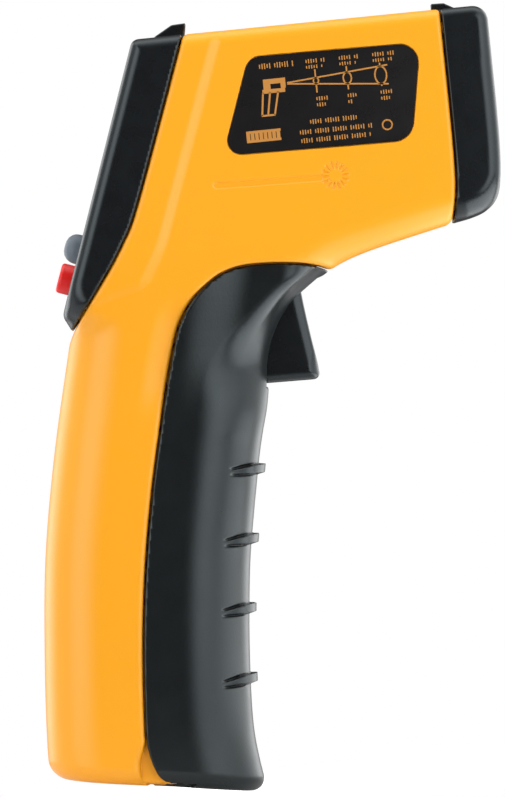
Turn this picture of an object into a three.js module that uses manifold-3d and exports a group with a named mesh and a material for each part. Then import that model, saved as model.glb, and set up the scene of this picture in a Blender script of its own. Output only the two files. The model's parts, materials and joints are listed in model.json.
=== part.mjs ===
// Pistol-grip infrared thermometer: two orange casing halves with a black nose cap, display bezel and
// grip door, and the optics, boards, buttons, trigger and batteries inside them.
// Millimetres. +X points along the line of sight, +Z is up and y = 0 is the parting plane.
// The origin is under the middle of the object, at the height of its lowest point.

import * as THREE from "three";
import { mergeVertices } from "three/addons/utils/BufferGeometryUtils.js";
import Module from "manifold-3d";

const wasm = await Module();
wasm.setup();

// Driving dimensions.
const LENGTH = 101;
const HEIGHT = 153;
const WIDTH = 43;
const WALL = 2.2;
const GAP = 0.3;
const FIT = 0.35; // clearance round a pin or a sliding part
const REAR_TILT = THREE.MathUtils.degToRad(20.5); // display face, leaning forwards
const HANDLE_TILT = THREE.MathUtils.degToRad(8.5);
const SIGHT_HEIGHT = 3.2;

// Places that follow from them.
const FRONT = LENGTH / 2;
const REAR = -LENGTH / 2;
const HALF = WIDTH / 2;
const TOP = HEIGHT - SIGHT_HEIGHT;
const FAR = 80; // reach of a cutter, beyond every wall
const OPTIC_Z = 127.5;
const LASER_Z = 142.2;
const DISPLAY_CENTRE = new THREE.Vector3(-29.2, 0, 124);
const TRAY_CENTRE = new THREE.Vector3(-30, 0, 50);
const DOOR_PIVOT = { x: -26.4, z: 6.7 };
const TRIGGER_PIVOT = { x: 2.5, z: 100.5 };
const TRIGGER_HALF = 6;

// ---- Solids ----

function solidOf(geometry) {
  geometry.deleteAttribute("normal");
  geometry.deleteAttribute("uv");
  const merged = mergeVertices(geometry, 1e-4);
  return new wasm.Manifold(
    new wasm.Mesh({
      numProp: 3,
      vertProperties: merged.attributes.position.array,
      triVerts: new Uint32Array(merged.index.array),
    }),
  );
}

function geometryOf(solid) {
  const mesh = solid.getMesh();
  const positions = new THREE.BufferAttribute(new Float32Array(mesh.vertProperties), mesh.numProp);
  const geometry = new THREE.BufferGeometry();
  geometry.setAttribute("position", positions);
  geometry.setIndex(new THREE.BufferAttribute(new Uint32Array(mesh.triVerts), 1));
  const faceted = geometry.toNonIndexed();
  faceted.computeVertexNormals();
  return faceted;
}

const join = (first, ...others) => others.reduce((sum, other) => sum.add(other), first);
const cut = (first, ...others) => others.reduce((rest, other) => rest.subtract(other), first);

function box([x0, x1], [y0, y1], [z0, z1], place) {
  const geometry = new THREE.BoxGeometry(x1 - x0, y1 - y0, z1 - z0);
  geometry.translate((x0 + x1) / 2, (y0 + y1) / 2, (z0 + z1) / 2);
  if (place) geometry.applyMatrix4(place);
  return solidOf(geometry);
}

// A round bar along "x", "y" or "z"; centre holds the two other coordinates in their usual order.
function bar(axis, centre, radius, [start, end], { segments = 20, place } = {}) {
  const geometry = new THREE.CylinderGeometry(radius, radius, end - start, segments);
  const middle = (start + end) / 2;
  if (axis === "x") geometry.rotateZ(-Math.PI / 2).translate(middle, centre[0], centre[1]);
  if (axis === "y") geometry.translate(centre[0], middle, centre[1]);
  if (axis === "z") geometry.rotateX(Math.PI / 2).translate(centre[0], centre[1], middle);
  if (place) geometry.applyMatrix4(place);
  return solidOf(geometry);
}

// A side-view outline (x, z) given thickness from y0 to y1, with an optional rounded rim.
function slab(shape, [y0, y1], { curveSegments = 6, rim = 0 } = {}) {
  const geometry = new THREE.ExtrudeGeometry(shape, {
    depth: y1 - y0 - 2 * rim,
    bevelEnabled: rim > 0,
    bevelThickness: rim,
    bevelSize: rim,
    bevelOffset: -rim,
    bevelSegments: 2,
    curveSegments,
  });
  geometry.rotateX(Math.PI / 2);
  geometry.translate(0, y1 - rim, 0);
  return solidOf(geometry);
}

const points = (pairs) => pairs.map(([x, z]) => new THREE.Vector2(x, z));

// A closed outline: a smooth line through `through`, then straight to each of `corners`.
function outline(through, corners = []) {
  const [start, ...rest] = points(through);
  const shape = new THREE.Shape();
  shape.moveTo(start.x, start.y);
  shape.splineThru(rest);
  for (const [x, z] of corners) shape.lineTo(x, z);
  shape.closePath();
  return shape;
}

// A polygon whose corners are rounded; each corner is [x, z, radius].
function roundedPolygon(corners) {
  const shape = new THREE.Shape();
  corners.forEach(([x, z, radius], i) => {
    const here = new THREE.Vector2(x, z);
    const before = new THREE.Vector2(...corners.at(i - 1)).sub(here).normalize();
    const after = new THREE.Vector2(...corners[(i + 1) % corners.length]).sub(here).normalize();
    const reach = radius / Math.tan(Math.acos(before.dot(after)) / 2);
    const enter = here.clone().addScaledVector(before, reach);
    const leave = here.clone().addScaledVector(after, reach);
    if (i === 0) shape.moveTo(enter.x, enter.y);
    else shape.lineTo(enter.x, enter.y);
    shape.quadraticCurveTo(here.x, here.y, leave.x, leave.y);
  });
  shape.closePath();
  return shape;
}

// A turned piece: profile points are [radius, distance along the axis], starting and ending on it.
function turned(axis, profile, [x, y, z], { segments = 28, place } = {}) {
  const geometry = new THREE.LatheGeometry(points(profile), segments);
  if (axis === "x") geometry.rotateZ(-Math.PI / 2);
  if (axis === "z") geometry.rotateX(Math.PI / 2);
  geometry.translate(x, y, z);
  if (place) geometry.applyMatrix4(place);
  return solidOf(geometry);
}

class Helix extends THREE.Curve {
  constructor(axis, radius, length, turns) {
    super();
    Object.assign(this, { axis, radius, length, turns });
  }

  getPoint(t, target = new THREE.Vector3()) {
    const angle = 2 * Math.PI * this.turns * t;
    const across = this.radius * Math.cos(angle);
    const other = this.radius * Math.sin(angle);
    const along = this.length * t;
    return this.axis === "y" ? target.set(across, along, other) : target.set(across, other, along);
  }
}

function spring(axis, radius, wire, length, turns) {
  const section = new THREE.Shape().absarc(0, 0, wire / 2, 0, 2 * Math.PI);
  const geometry = new THREE.ExtrudeGeometry(section, {
    steps: Math.round(turns * 10),
    curveSegments: 3,
    extrudePath: new Helix(axis, radius, length, turns),
  });
  return solidOf(geometry);
}

// A lofted body. A station is a chord across the side view, from `low` to `high`, with the body's
// half width and corner radius there. `inset` moves the whole skin inwards.
const CORNER_STEPS = 5;

function stationRing({ low, high, half, corner }, inset) {
  const up = new THREE.Vector2().subVectors(high, low);
  const tall = up.length() / 2 - inset;
  const centre = new THREE.Vector2().addVectors(low, high).multiplyScalar(0.5);
  up.normalize();
  const wide = half - inset;
  const round = Math.max(0.6, Math.min(corner - inset, tall - 0.1, wide - 0.1));
  const ring = [];
  for (let quarter = 0; quarter < 4; quarter += 1) {
    for (let step = 0; step <= CORNER_STEPS; step += 1) {
      const angle = (Math.PI / 2) * (quarter + step / CORNER_STEPS);
      const signY = quarter === 0 || quarter === 3 ? 1 : -1;
      const signUp = quarter < 2 ? 1 : -1;
      const y = signY * (wide - round) + round * Math.cos(angle);
      const v = signUp * (tall - round) + round * Math.sin(angle);
      ring.push(new THREE.Vector3(centre.x + v * up.x, y, centre.y + v * up.y));
    }
  }
  return ring;
}

// Stations between the given ones, on a smooth curve through them.
function smoothStations(stations, perSpan) {
  const track = (pick) => new THREE.CatmullRomCurve3(stations.map(pick), false, "centripetal");
  const low = track((s) => new THREE.Vector3(s.low[0], s.low[1], s.half));
  const high = track((s) => new THREE.Vector3(s.high[0], s.high[1], s.corner));
  const count = (stations.length - 1) * perSpan;
  return Array.from({ length: count + 1 }, (_, i) => {
    const a = low.getPoint(i / count);
    const b = high.getPoint(i / count);
    const half = Math.min(a.z, HALF);
    return { low: new THREE.Vector2(a.x, a.y), high: new THREE.Vector2(b.x, b.y), half, corner: b.z };
  });
}

function loft(stations, inset, [trimFirst, trimLast]) {
  const rings = stations.map((station) => stationRing(station, inset));
  const slide = (ring, direction) => ring.forEach((p) => p.addScaledVector(direction, inset));
  slide(rings[0], trimFirst);
  slide(rings.at(-1), trimLast);
  const ringSize = rings[0].length;
  const vertices = rings.flat();
  const faces = [];
  for (let r = 0; r + 1 < rings.length; r += 1) {
    for (let i = 0; i < ringSize; i += 1) {
      const j = (i + 1) % ringSize;
      const [a, b] = [r * ringSize + i, r * ringSize + j];
      const [c, d] = [a + ringSize, b + ringSize];
      faces.push(a, b, d, a, d, c);
    }
  }
  for (const [ring, flip] of [[0, true], [rings.length - 1, false]]) {
    const middle = vertices.length;
    const sum = rings[ring].reduce((total, p) => total.add(p), new THREE.Vector3());
    vertices.push(sum.divideScalar(ringSize));
    for (let i = 0; i < ringSize; i += 1) {
      const [a, b] = [ring * ringSize + i, ring * ringSize + ((i + 1) % ringSize)];
      faces.push(...(flip ? [middle, b, a] : [middle, a, b]));
    }
  }
  const geometry = new THREE.BufferGeometry().setFromPoints(vertices);
  geometry.setIndex(faces);
  const made = solidOf(geometry);
  if (made.volume() > 0) return made;
  geometry.setIndex(faces.reverse());
  return solidOf(geometry);
}

// ---- The outer shape ----

// A point given in the display face's own directions: `depth` into the object, `up` along the face.
function onDisplay(depth, up) {
  const [c, s] = [Math.cos(REAR_TILT), Math.sin(REAR_TILT)];
  return [DISPLAY_CENTRE.x + depth * c + up * s, DISPLAY_CENTRE.z - depth * s + up * c];
}

const BARREL_STATIONS = [
  { low: onDisplay(0, -27), high: onDisplay(0, 25.5), half: 16.8, corner: 4 },
  { low: onDisplay(0.8, -28.7), high: onDisplay(0.8, 27.4), half: 18.2, corner: 4.8 },
  { low: onDisplay(2.6, -29.2), high: onDisplay(2.6, 28.7), half: 18.9, corner: 5.5 },
  { low: onDisplay(15.8, -22), high: [-2.7, TOP], half: HALF, corner: 5.5 },
  { low: [7, 103.4], high: [10, TOP], half: HALF, corner: 5.5 },
  { low: [20, 103.9], high: [21, TOP], half: HALF, corner: 5 },
  { low: [30, 106], high: [31, TOP], half: HALF, corner: 5 },
  { low: [40.4, 107.8], high: [41.3, TOP], half: HALF, corner: 5 },
  { low: [44.6, 108.6], high: [46, TOP], half: HALF - 0.3, corner: 5 },
  { low: [47.5, 110.2], high: [48.7, TOP - 0.4], half: HALF - 1, corner: 5.5 },
  { low: [49, 112.8], high: [FRONT - 0.3, TOP - 1.6], half: HALF - 2.2, corner: 5.5 },
  { low: [49.5, 116], high: [FRONT, TOP - 3], half: HALF - 3.6, corner: 5 },
];

const HANDLE_STATIONS = [
  { low: [-46.5, 6.4], high: [-12, 0], half: 13.4, corner: 9 },
  { low: [-49.7, 8.7], high: [-9.9, 1.4], half: 15.2, corner: 10.5 },
  { low: [REAR, 12], high: [-9.2, 4.6], half: 15.9, corner: 11.5 },
  { low: [-50.1, 22], high: [-9.5, 14], half: 16.2, corner: 12 },
  { low: [-48.7, 37], high: [-8.3, 32], half: 16.3, corner: 12 },
  { low: [-46.5, 54], high: [-5.5, 52], half: 16.3, corner: 12 },
  { low: [-42.9, 72], high: [-1.3, 72.5], half: 16.5, corner: 12 },
  { low: [-40.3, 82], high: [0.9, 84], half: 17, corner: 12 },
  { low: [-38, 90], high: [2.9, 91.5], half: 17.8, corner: 12 },
  { low: [-36, 95], high: [7.4, 97], half: 18.6, corner: 12 },
  { low: [-33, 100], high: [14.5, 101.4], half: 19.6, corner: 11 },
  { low: [-29, 105], high: [20, 104.5], half: 20.2, corner: 10 },
  { low: [-25, 109], high: [23, 109], half: 20.4, corner: 8 },
];

function wholeBody(inset) {
  const displayIn = new THREE.Vector3(Math.cos(REAR_TILT), 0, -Math.sin(REAR_TILT));
  const [sole, toe] = [HANDLE_STATIONS[0].low, HANDLE_STATIONS[0].high];
  const soleIn = new THREE.Vector3(sole[1] - toe[1], 0, toe[0] - sole[0]).normalize();
  const barrel = loft(smoothStations(BARREL_STATIONS, 2), inset, [displayIn, new THREE.Vector3(-1, 0, 0)]);
  const handle = loft(smoothStations(HANDLE_STATIONS, 2), inset, [soleIn, new THREE.Vector3(0, 0, -1)]);
  return join(barrel, handle);
}

// Parting lines in the side view. `shift` moves a line to leave half a gap on each side of it.
const noseRegion = (shift) =>
  outline(
    [
      [41.35 + shift, TOP + 2],
      [41.4 + shift, 130],
      [41.2 + shift, 118],
      [40.5 + shift, 111.8],
      [38.8 + shift, 106],
    ],
    [[FAR, 106], [FAR, TOP + 2]],
  );

const bezelRegion = (shift) =>
  outline(
    [
      [-8.6 + shift, 152.5],
      [-15.5 + shift, 134],
      [-21.3 + shift, 118.6],
      [-25.6 + shift, 110],
      [-30.9 + shift, 102],
      [-37 + shift, 94.2],
    ],
    [[-FAR, 90], [-FAR, 152.5]],
  );

const gripRegion = (shift) =>
  outline(
    [
      [15.8, 102.2 - shift],
      [10, 102.7 - shift],
      [1, 103.4 - shift],
      [-6, 102.7 - shift],
      [-11 + shift, 99.8 - shift],
      [-15.1 + shift, 95],
      [-18.8 + shift, 85],
      [-22.6 + shift, 70],
      [-26.9 + shift, 50],
      [-29.6 + shift, 30],
      [-31 + shift, 12],
    ],
    [[-31 + shift, -5], [FAR, -5], [FAR, 90], [18, 102.2 - shift]],
  );

// The door's lower rear corner turns round the hinge.
const doorCornerCutter = () => {
  const shape = new THREE.Shape();
  shape.moveTo(-40, 12);
  shape.lineTo(-30.95, 12);
  shape.lineTo(-30.95, 10.5);
  shape.bezierCurveTo(-30.95, 5.5, -28.4, 2.6, -24, 1.9);
  shape.lineTo(-24, -4);
  shape.lineTo(-40, -4);
  shape.closePath();
  return slab(shape, [-FAR, FAR]);
};

const LABEL_CORNERS = [
  [2.9, 144, 3.2],
  [36.6, 143.4, 3.6],
  [33.2, 124.5, 4],
  [-3.9, 125.3, 3],
];

const body = wholeBody(0);
const hollow = wholeBody(WALL);

// ---- Casing ----

const PIN_RADIUS = 1.2;
const KNUCKLE_RADIUS = 5.3;
const EAR_Y = [12, 13.6];
const CHEEK_Y = EAR_Y[1] + FIT;

const CASING_BOSSES = [
  [36, 113.4],
  [14, 109.5],
  [-16, 110],
  [-6, 138],
  [-28, 90],
  [-39, 14.5],
];
const BOSS_RADIUS = 3.5;
const BOSS_START = 0.5; // each half's bosses stop this far from the parting plane
const SCREW_RADIUS = 1.15;
const SCREW_HEAD = 2.3;
const SCREW_END = -9;
const SCREW_BORE_END = -11;
const HEAD_SEAT = 9.6;
const HEAD_TOP = 11.6;
const HEAD_BORE_START = 9.2;
const EAR_RADIUS = 3;
const LABEL_POCKET = 0.6;

function gripCutter(shift) {
  return cut(slab(gripRegion(shift), [-FAR, FAR]), doorCornerCutter());
}

// Where the casing's outer skin stands back from the door's turning corner.
const CORNER_CLEARANCE = roundedPolygon([
  [-24, -4, 0.1],
  [-36.5, -4, 0.1],
  [-33.2, 7.6, 1],
  [-31.4, 12, 1],
  [-24, 12, 0.1],
]);

// The wall that shows beside the door's rounded corner, and that carries the hinge pin.
function hingeEar(side) {
  const ear = new THREE.Shape();
  ear.moveTo(-37, 12);
  ear.lineTo(-37, 7.4);
  ear.lineTo(-29, 4.2);
  ear.lineTo(DOOR_PIVOT.x, DOOR_PIVOT.z - EAR_RADIUS);
  ear.absarc(DOOR_PIVOT.x, DOOR_PIVOT.z, EAR_RADIUS, -Math.PI / 2, Math.PI / 2, false);
  ear.lineTo(-32, 12);
  ear.closePath();
  return slab(ear, side > 0 ? EAR_Y : [-EAR_Y[1], -EAR_Y[0]]);
}

function casingHalf(side) {
  const beyond = side > 0 ? [GAP / 2, FAR] : [-FAR, -GAP / 2];
  const halfSpace = box([-FAR, FAR], beyond, [-FAR, 2 * FAR]);
  const skin = cut(
    body.subtract(hollow),
    slab(noseRegion(-GAP), [-FAR, FAR]),
    slab(bezelRegion(GAP), [-FAR, FAR]),
    gripCutter(-GAP),
    bar("y", [DOOR_PIVOT.x, DOOR_PIVOT.z], KNUCKLE_RADIUS + GAP, [-CHEEK_Y, CHEEK_Y], { segments: 32 }),
    slab(CORNER_CLEARANCE, [CHEEK_Y, FAR]),
    slab(CORNER_CLEARANCE, [-FAR, -CHEEK_Y]),
  );
  const bossReach = side > 0 ? [BOSS_START, FAR] : [-FAR, -BOSS_START];
  const bosses = CASING_BOSSES.map(([x, z]) =>
    bar("y", [x, z], BOSS_RADIUS, bossReach, { segments: 16 }).intersect(body),
  );
  const ear = hingeEar(side).intersect(body);
  const joined = join(skin.intersect(halfSpace), ...bosses, ear);
  const boreReach = side > 0 ? [0, FAR] : [SCREW_BORE_END, 0];
  const bores = CASING_BOSSES.map(([x, z]) => {
    const hole = bar("y", [x, z], SCREW_RADIUS + FIT, boreReach, { segments: 16 });
    if (side < 0) return hole;
    return join(hole, bar("y", [x, z], SCREW_HEAD + FIT, [HEAD_BORE_START, FAR], { segments: 16 }));
  });
  const pinHole = bar("y", [DOOR_PIVOT.x, DOOR_PIVOT.z], PIN_RADIUS + FIT, [-FAR, FAR], { segments: 16 });
  const pocket = slab(
    roundedPolygon(LABEL_CORNERS),
    side > 0 ? [HALF - LABEL_POCKET, FAR] : [-FAR, LABEL_POCKET - HALF],
  );
  return cut(joined, ...bores, pinHole, pocket);
}

function label(side) {
  const outer = HALF - 0.05;
  const inner = HALF - GAP;
  const shrink = LABEL_CORNERS.map(([x, z, r]) => [
    x + (x > 15 ? -GAP : GAP),
    z + (z > 135 ? -GAP : GAP),
    r - GAP,
  ]);
  return slab(roundedPolygon(shrink), side > 0 ? [inner, outer] : [-outer, -inner]);
}

function casingScrew([x, z]) {
  return join(
    bar("y", [x, z], SCREW_RADIUS, [SCREW_END, HEAD_SEAT + 0.2], { segments: 12 }),
    bar("y", [x, z], SCREW_HEAD, [HEAD_SEAT, HEAD_TOP], { segments: 16 }),
  );
}

// ---- Nose cap and optics ----

const LENS_RADIUS = 8.6;
const TUBE_RADIUS = 9.6;
const TUBE_START = 18;
const LASER_RADIUS = 3.3;
const LASER_START = 29;

function frontSight() {
  const shape = new THREE.Shape();
  shape.moveTo(39.7, TOP + 0.2);
  shape.lineTo(39.7, TOP + 1.4);
  shape.lineTo(42, TOP + 1.4);
  shape.lineTo(45.4, TOP - 0.6);
  shape.lineTo(41.9, TOP - 0.6);
  shape.lineTo(41.9, TOP + 0.2);
  shape.closePath();
  return slab(shape, [-1.6, 1.6]);
}

function noseCap() {
  const shell = body.intersect(slab(noseRegion(0), [-FAR, FAR]));
  const inside = hollow.intersect(box([0, FRONT - 2.6], [-FAR, FAR], [0, FAR * 2]));
  const mouth = turned(
    "x",
    [[0, 0], [LENS_RADIUS + 0.5, 0], [LENS_RADIUS + 0.5, 4], [LENS_RADIUS + 2.4, 8], [0, 8]],
    [FRONT - 4.6, 0, OPTIC_Z],
  );
  const beamHole = bar("x", [0, LASER_Z], 2.2, [FRONT - 6, FRONT + 2]);
  return cut(join(cut(shell, inside), frontSight()), mouth, beamHole);
}

function infraredLens() {
  const x0 = FRONT - 4.2;
  return turned(
    "x",
    [[0, 0], [LENS_RADIUS, 0], [LENS_RADIUS, 1], [6, 1.7], [3, 2.1], [0, 2.2]],
    [x0, 0, OPTIC_Z],
  );
}

function opticTube() {
  const [x0, x1] = [TUBE_START, FRONT - 4.6];
  const tube = bar("x", [0, OPTIC_Z], TUBE_RADIUS, [x0, x1], { segments: 32 });
  const bore = turned(
    "x",
    [[0, 0], [5.2, 0], [5.2, 7], [LENS_RADIUS - 0.8, 26], [LENS_RADIUS - 0.8, 40], [0, 40]],
    [x0 - 1, 0, OPTIC_Z],
  );
  return cut(tube, bore);
}

function sensorCan() {
  return join(
    bar("x", [0, OPTIC_Z], 4.4, [TUBE_START + 0.4, 22]),
    bar("x", [0, OPTIC_Z], 2.2, [21.8, 22.6]),
  );
}

const sensorBoard = () => bar("x", [0, OPTIC_Z], 9.4, [16, 17.6], { segments: 28 });

function laserModule() {
  const housing = bar("x", [0, LASER_Z], LASER_RADIUS, [LASER_START, FRONT - 3.2]);
  return cut(housing, bar("x", [0, LASER_Z], 1.1, [FRONT - 6, FRONT]));
}

function laserHolder() {
  const block = box([30.5, 39], [-5.4, 5.4], [OPTIC_Z + TUBE_RADIUS + GAP, LASER_Z + 1]);
  return cut(block, bar("x", [0, LASER_Z], LASER_RADIUS + GAP, [LASER_START, 41]));
}

// ---- Display bezel, display stack and buttons ----

const displayPlace = new THREE.Matrix4()
  .makeRotationY(REAR_TILT)
  .setPosition(DISPLAY_CENTRE);
const WINDOW = { half: 14.6, low: -5.5, high: 20.5 };
const BUTTONS = {
  button_left: { y: 7.4, up: -15, radius: 2.9 },
  button_right: { y: -7.4, up: -15, radius: 2.9 },
  button_mode: { y: 0, up: -21.3, radius: 3 },
};

const displayBox = (depth, halfWidth, up) => [depth, [-halfWidth, halfWidth], up];

function rearSight() {
  const shape = new THREE.Shape();
  shape.moveTo(-14.9, TOP + 0.8);
  shape.lineTo(-11.7, HEIGHT);
  shape.lineTo(-9, HEIGHT);
  shape.lineTo(-9.6, TOP + GAP);
  shape.lineTo(-11.2, TOP + GAP);
  shape.lineTo(-12, TOP - 1);
  shape.lineTo(-18, TOP - 1);
  shape.closePath();
  const wings = slab(shape, [-5, 5]);
  return cut(wings, box([-30, 0], [-1.7, 1.7], [TOP + 0.9, HEIGHT + 1]));
}

function displayBezel() {
  const shell = body.subtract(hollow).intersect(slab(bezelRegion(0), [-FAR, FAR]));
  const windowHole = box(
    ...displayBox([-4, 6], WINDOW.half + GAP, [WINDOW.low - GAP, WINDOW.high + GAP]),
    displayPlace,
  );
  const buttonHoles = Object.values(BUTTONS).map(({ y, up, radius }) =>
    bar("x", [y, up], radius + FIT, [-4, 6], { place: displayPlace }),
  );
  return cut(join(shell, rearSight()), windowHole, ...buttonHoles);
}

const displayPiece = {
  display_window: () =>
    join(
      box(...displayBox([0.4, 2.6], WINDOW.half, [WINDOW.low, WINDOW.high])),
      box(...displayBox([2.5, 3.3], 15.7, [WINDOW.low - 1.4, WINDOW.high + 1.4])),
    ),
  display_glass: () => box(...displayBox([3.7, 5.9], 14.4, [WINDOW.low - 1, WINDOW.high + 1])),
  display_backlight: () => box(...displayBox([6.2, 8.4], 14, [WINDOW.low, WINDOW.high])),
  display_board: () => box(...displayBox([8.8, 10.4], 13.6, [-24.6, 23.5])),
};

function button({ y, up, radius }) {
  const head = turned(
    "x",
    [[0, -2.7], [radius - 1.2, -2.6], [radius - 0.3, -2.1], [radius, -1.2], [radius, 3], [0, 3]],
    [0, y, up],
    { segments: 20 },
  );
  const flange = bar("x", [y, up], radius + 0.9, [2.8, 3.7]);
  const stem = bar("x", [y, up], 1.4, [3.5, 5.2], { segments: 12 });
  return join(head, flange, stem);
}

function buttonSwitch({ y, up }) {
  return join(
    box([6.9, 8.5], [y - 2.6, y + 2.6], [up - 2.6, up + 2.6]),
    bar("x", [y, up], 1.3, [6.4, 7], { segments: 12 }),
  );
}

// ---- Grip door ----

const FINGER_BARS = [
  { x: -2.5, z: 63.2, rise: 0.04 },
  { x: -5, z: 49.6, rise: 0.12 },
  { x: -6.9, z: 36, rise: 0.14 },
  { x: -8.2, z: 22.2, rise: 0.17 },
];
const BAR_THICKNESS = 2.5;
const BAR_PROUD = 1.1;
const BAR_REACH = 6.4;
const HINGE_BOSS_RADIUS = 3.2;
const PIN_ROOM_RADIUS = 2.2;
const PIN_HALF_LENGTH = 15;

// A raised bar wrapped round the front of the grip, following its skin.
function fingerBar({ x, z, rise }) {
  const proud = wholeBody(-BAR_PROUD);
  const band = new THREE.Shape();
  const half = BAR_THICKNESS / 2;
  band.moveTo(x - BAR_REACH, z - half - BAR_REACH * rise);
  band.lineTo(x + 4, z - half);
  band.lineTo(x + 4, z + half);
  band.lineTo(x - BAR_REACH, z + half - BAR_REACH * rise);
  band.closePath();
  return proud.intersect(slab(band, [-FAR, FAR])).subtract(hollow);
}

function gripDoor() {
  const shell = body.subtract(hollow).intersect(gripCutter(0));
  const slot = box([-4, 20], [-TRIGGER_HALF - 0.6, TRIGGER_HALF + 0.6], [79.1, 100]);
  const { x, z } = DOOR_PIVOT;
  const bossEnd = PIN_HALF_LENGTH + 1;
  const pinEnd = PIN_HALF_LENGTH + FIT;
  const pinHoles = bar("y", [x, z], PIN_RADIUS + FIT, [-pinEnd, pinEnd], { segments: 16 });
  const bosses = [-1, 1].map((side) =>
    bar("y", [x, z], HINGE_BOSS_RADIUS, side > 0 ? [CHEEK_Y, bossEnd] : [-bossEnd, -CHEEK_Y]).intersect(body),
  );
  const earRoom = [-1, 1].map((side) => {
    const [inner, outer] = [EAR_Y[0] - FIT, CHEEK_Y];
    return box([-FAR, x + 3.4], side > 0 ? [inner, outer] : [-outer, -inner], [-5, 12]);
  });
  const knuckle = bar("y", [x, z], KNUCKLE_RADIUS, [-12, 12], { segments: 32 })
    .intersect(body)
    .subtract(box([-FAR, FAR], [-FAR, FAR], [z, FAR]));
  const pinRoom = bar("y", [x, z], PIN_ROOM_RADIUS, [-13, 13]);
  const bars = FINGER_BARS.map(fingerBar);
  return cut(join(shell, knuckle, ...bosses, ...bars), slot, pinRoom, pinHoles, ...earRoom);
}

const doorHingePin = () =>
  bar("y", [DOOR_PIVOT.x, DOOR_PIVOT.z], PIN_RADIUS, [-PIN_HALF_LENGTH, PIN_HALF_LENGTH], { segments: 16 });

// ---- Trigger ----

const HUB_RADIUS = 3;
const TRIGGER_PIN_RADIUS = 1;
const TRIGGER_PIN_HALF = 8.4;
const BRACKET_Y = [6.5, 8];

function triggerOutline() {
  const shape = new THREE.Shape();
  const { x, z } = TRIGGER_PIVOT;
  shape.moveTo(8.6, 97.4);
  shape.bezierCurveTo(8.7, 91, 9.6, 85, 10.3, 81.6);
  shape.quadraticCurveTo(10.5, 79.8, 9, 79.7);
  shape.lineTo(-2.6, 79.9);
  shape.quadraticCurveTo(-3.8, 80, -4, 81.2);
  shape.bezierCurveTo(-4.6, 85, -4.2, 90, -2.4, 94);
  shape.lineTo(x - HUB_RADIUS, z);
  shape.absarc(x, z, HUB_RADIUS, Math.PI, Math.PI / 5, true);
  shape.closePath();
  return shape;
}

function trigger() {
  const lever = slab(triggerOutline(), [-TRIGGER_HALF, TRIGGER_HALF], { rim: 0.7 });
  const pivot = [TRIGGER_PIVOT.x, TRIGGER_PIVOT.z];
  const pivotBore = bar("y", pivot, TRIGGER_PIN_RADIUS + FIT, [-FAR, FAR], { segments: 16 });
  const springRoom = box([-6, 12], [-3, 3], [96.4, 106]);
  return cut(lever, pivotBore, springRoom);
}

function triggerPin() {
  const reach = [-TRIGGER_PIN_HALF, TRIGGER_PIN_HALF];
  return bar("y", [TRIGGER_PIVOT.x, TRIGGER_PIVOT.z], TRIGGER_PIN_RADIUS, reach, { segments: 16 });
}

function triggerBracket() {
  const { x, z } = TRIGGER_PIVOT;
  const cheeks = [-1, 1].flatMap((side) => {
    const thickness = side > 0 ? BRACKET_Y : [-BRACKET_Y[1], -BRACKET_Y[0]];
    return [
      box([x - 2.4, x + 2.4], thickness, [z, z + 6.5]),
      bar("y", [x, z], 2.4, thickness, { segments: 20 }),
    ];
  });
  const bridge = box([x - 5, x + 2.4], [-BRACKET_Y[1], BRACKET_Y[1]], [z + 4.6, z + 6.5]);
  return cut(join(bridge, ...cheeks), bar("y", [x, z], TRIGGER_PIN_RADIUS + FIT, [-9, 9], { segments: 16 }));
}

function triggerSpring() {
  const { x, z } = TRIGGER_PIVOT;
  const coil = geometryOf(spring("y", 1.95, 0.5, 4, 4.5));
  coil.translate(x, -2, z);
  return solidOf(coil);
}

const SWITCH_Z = 88;
const PLUNGER_RADIUS = 1.1;

const triggerBoard = () => box([-18.4, -16.8], [-9, 9], [80, 98]);

function triggerSwitch() {
  const housing = box([-16.4, -8.6], [-3.1, 3.1], [83, 93]);
  return cut(housing, bar("x", [0, SWITCH_Z], PLUNGER_RADIUS + GAP, [-12.6, 0], { segments: 12 }));
}

const switchPlunger = () => bar("x", [0, SWITCH_Z], PLUNGER_RADIUS, [-10.2, -4.8], { segments: 12 });

// ---- Boards and small parts in the barrel ----

const mainBoard = () => box([-1, 31], [13.6, 15.2], [115, 139]);
const controllerChip = () => box([2, 12], [11.9, 13.3], [116.5, 126.5]);

function buzzer() {
  return turned("y", [[0, 0], [5.6, 0], [6, 0.4], [6, 4.8], [0, 4.8]], [8, 8.4, 132.8], { segments: 24 });
}

// ---- Batteries, in a frame that leans with the handle ----

const TRAY_HALF_LENGTH = 28.4;
const CELL_RADIUS = 5.2;
const CELL_X = -0.4;
const CELL_Y = 5.75;
const CELL_LENGTH = 43.3;

function batteryTray() {
  const outer = box([-7.6, 3], [-12.6, 12.6], [-TRAY_HALF_LENGTH, TRAY_HALF_LENGTH]);
  const well = box([-6.1, 10], [-11.3, 11.3], [1.5 - TRAY_HALF_LENGTH, TRAY_HALF_LENGTH - 1.5]);
  const rib = box([-6.4, -4], [-0.3, 0.3], [-20, 20]);
  return join(cut(outer, well), rib);
}

function cell() {
  return turned(
    "z",
    [
      [0, -CELL_LENGTH / 2],
      [CELL_RADIUS - 0.5, -CELL_LENGTH / 2],
      [CELL_RADIUS, 0.5 - CELL_LENGTH / 2],
      [CELL_RADIUS, CELL_LENGTH / 2 - 0.6],
      [CELL_RADIUS - 0.6, CELL_LENGTH / 2],
      [1.9, CELL_LENGTH / 2],
      [1.9, CELL_LENGTH / 2 + 1.2],
      [0, CELL_LENGTH / 2 + 1.2],
    ],
    [0, 0, 0],
    { segments: 24 },
  );
}

const contactPlate = () => box([-3.6, 3.6], [-4.4, 4.4], [-0.3, 0.3]);

// ---- Assembly ----

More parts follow.
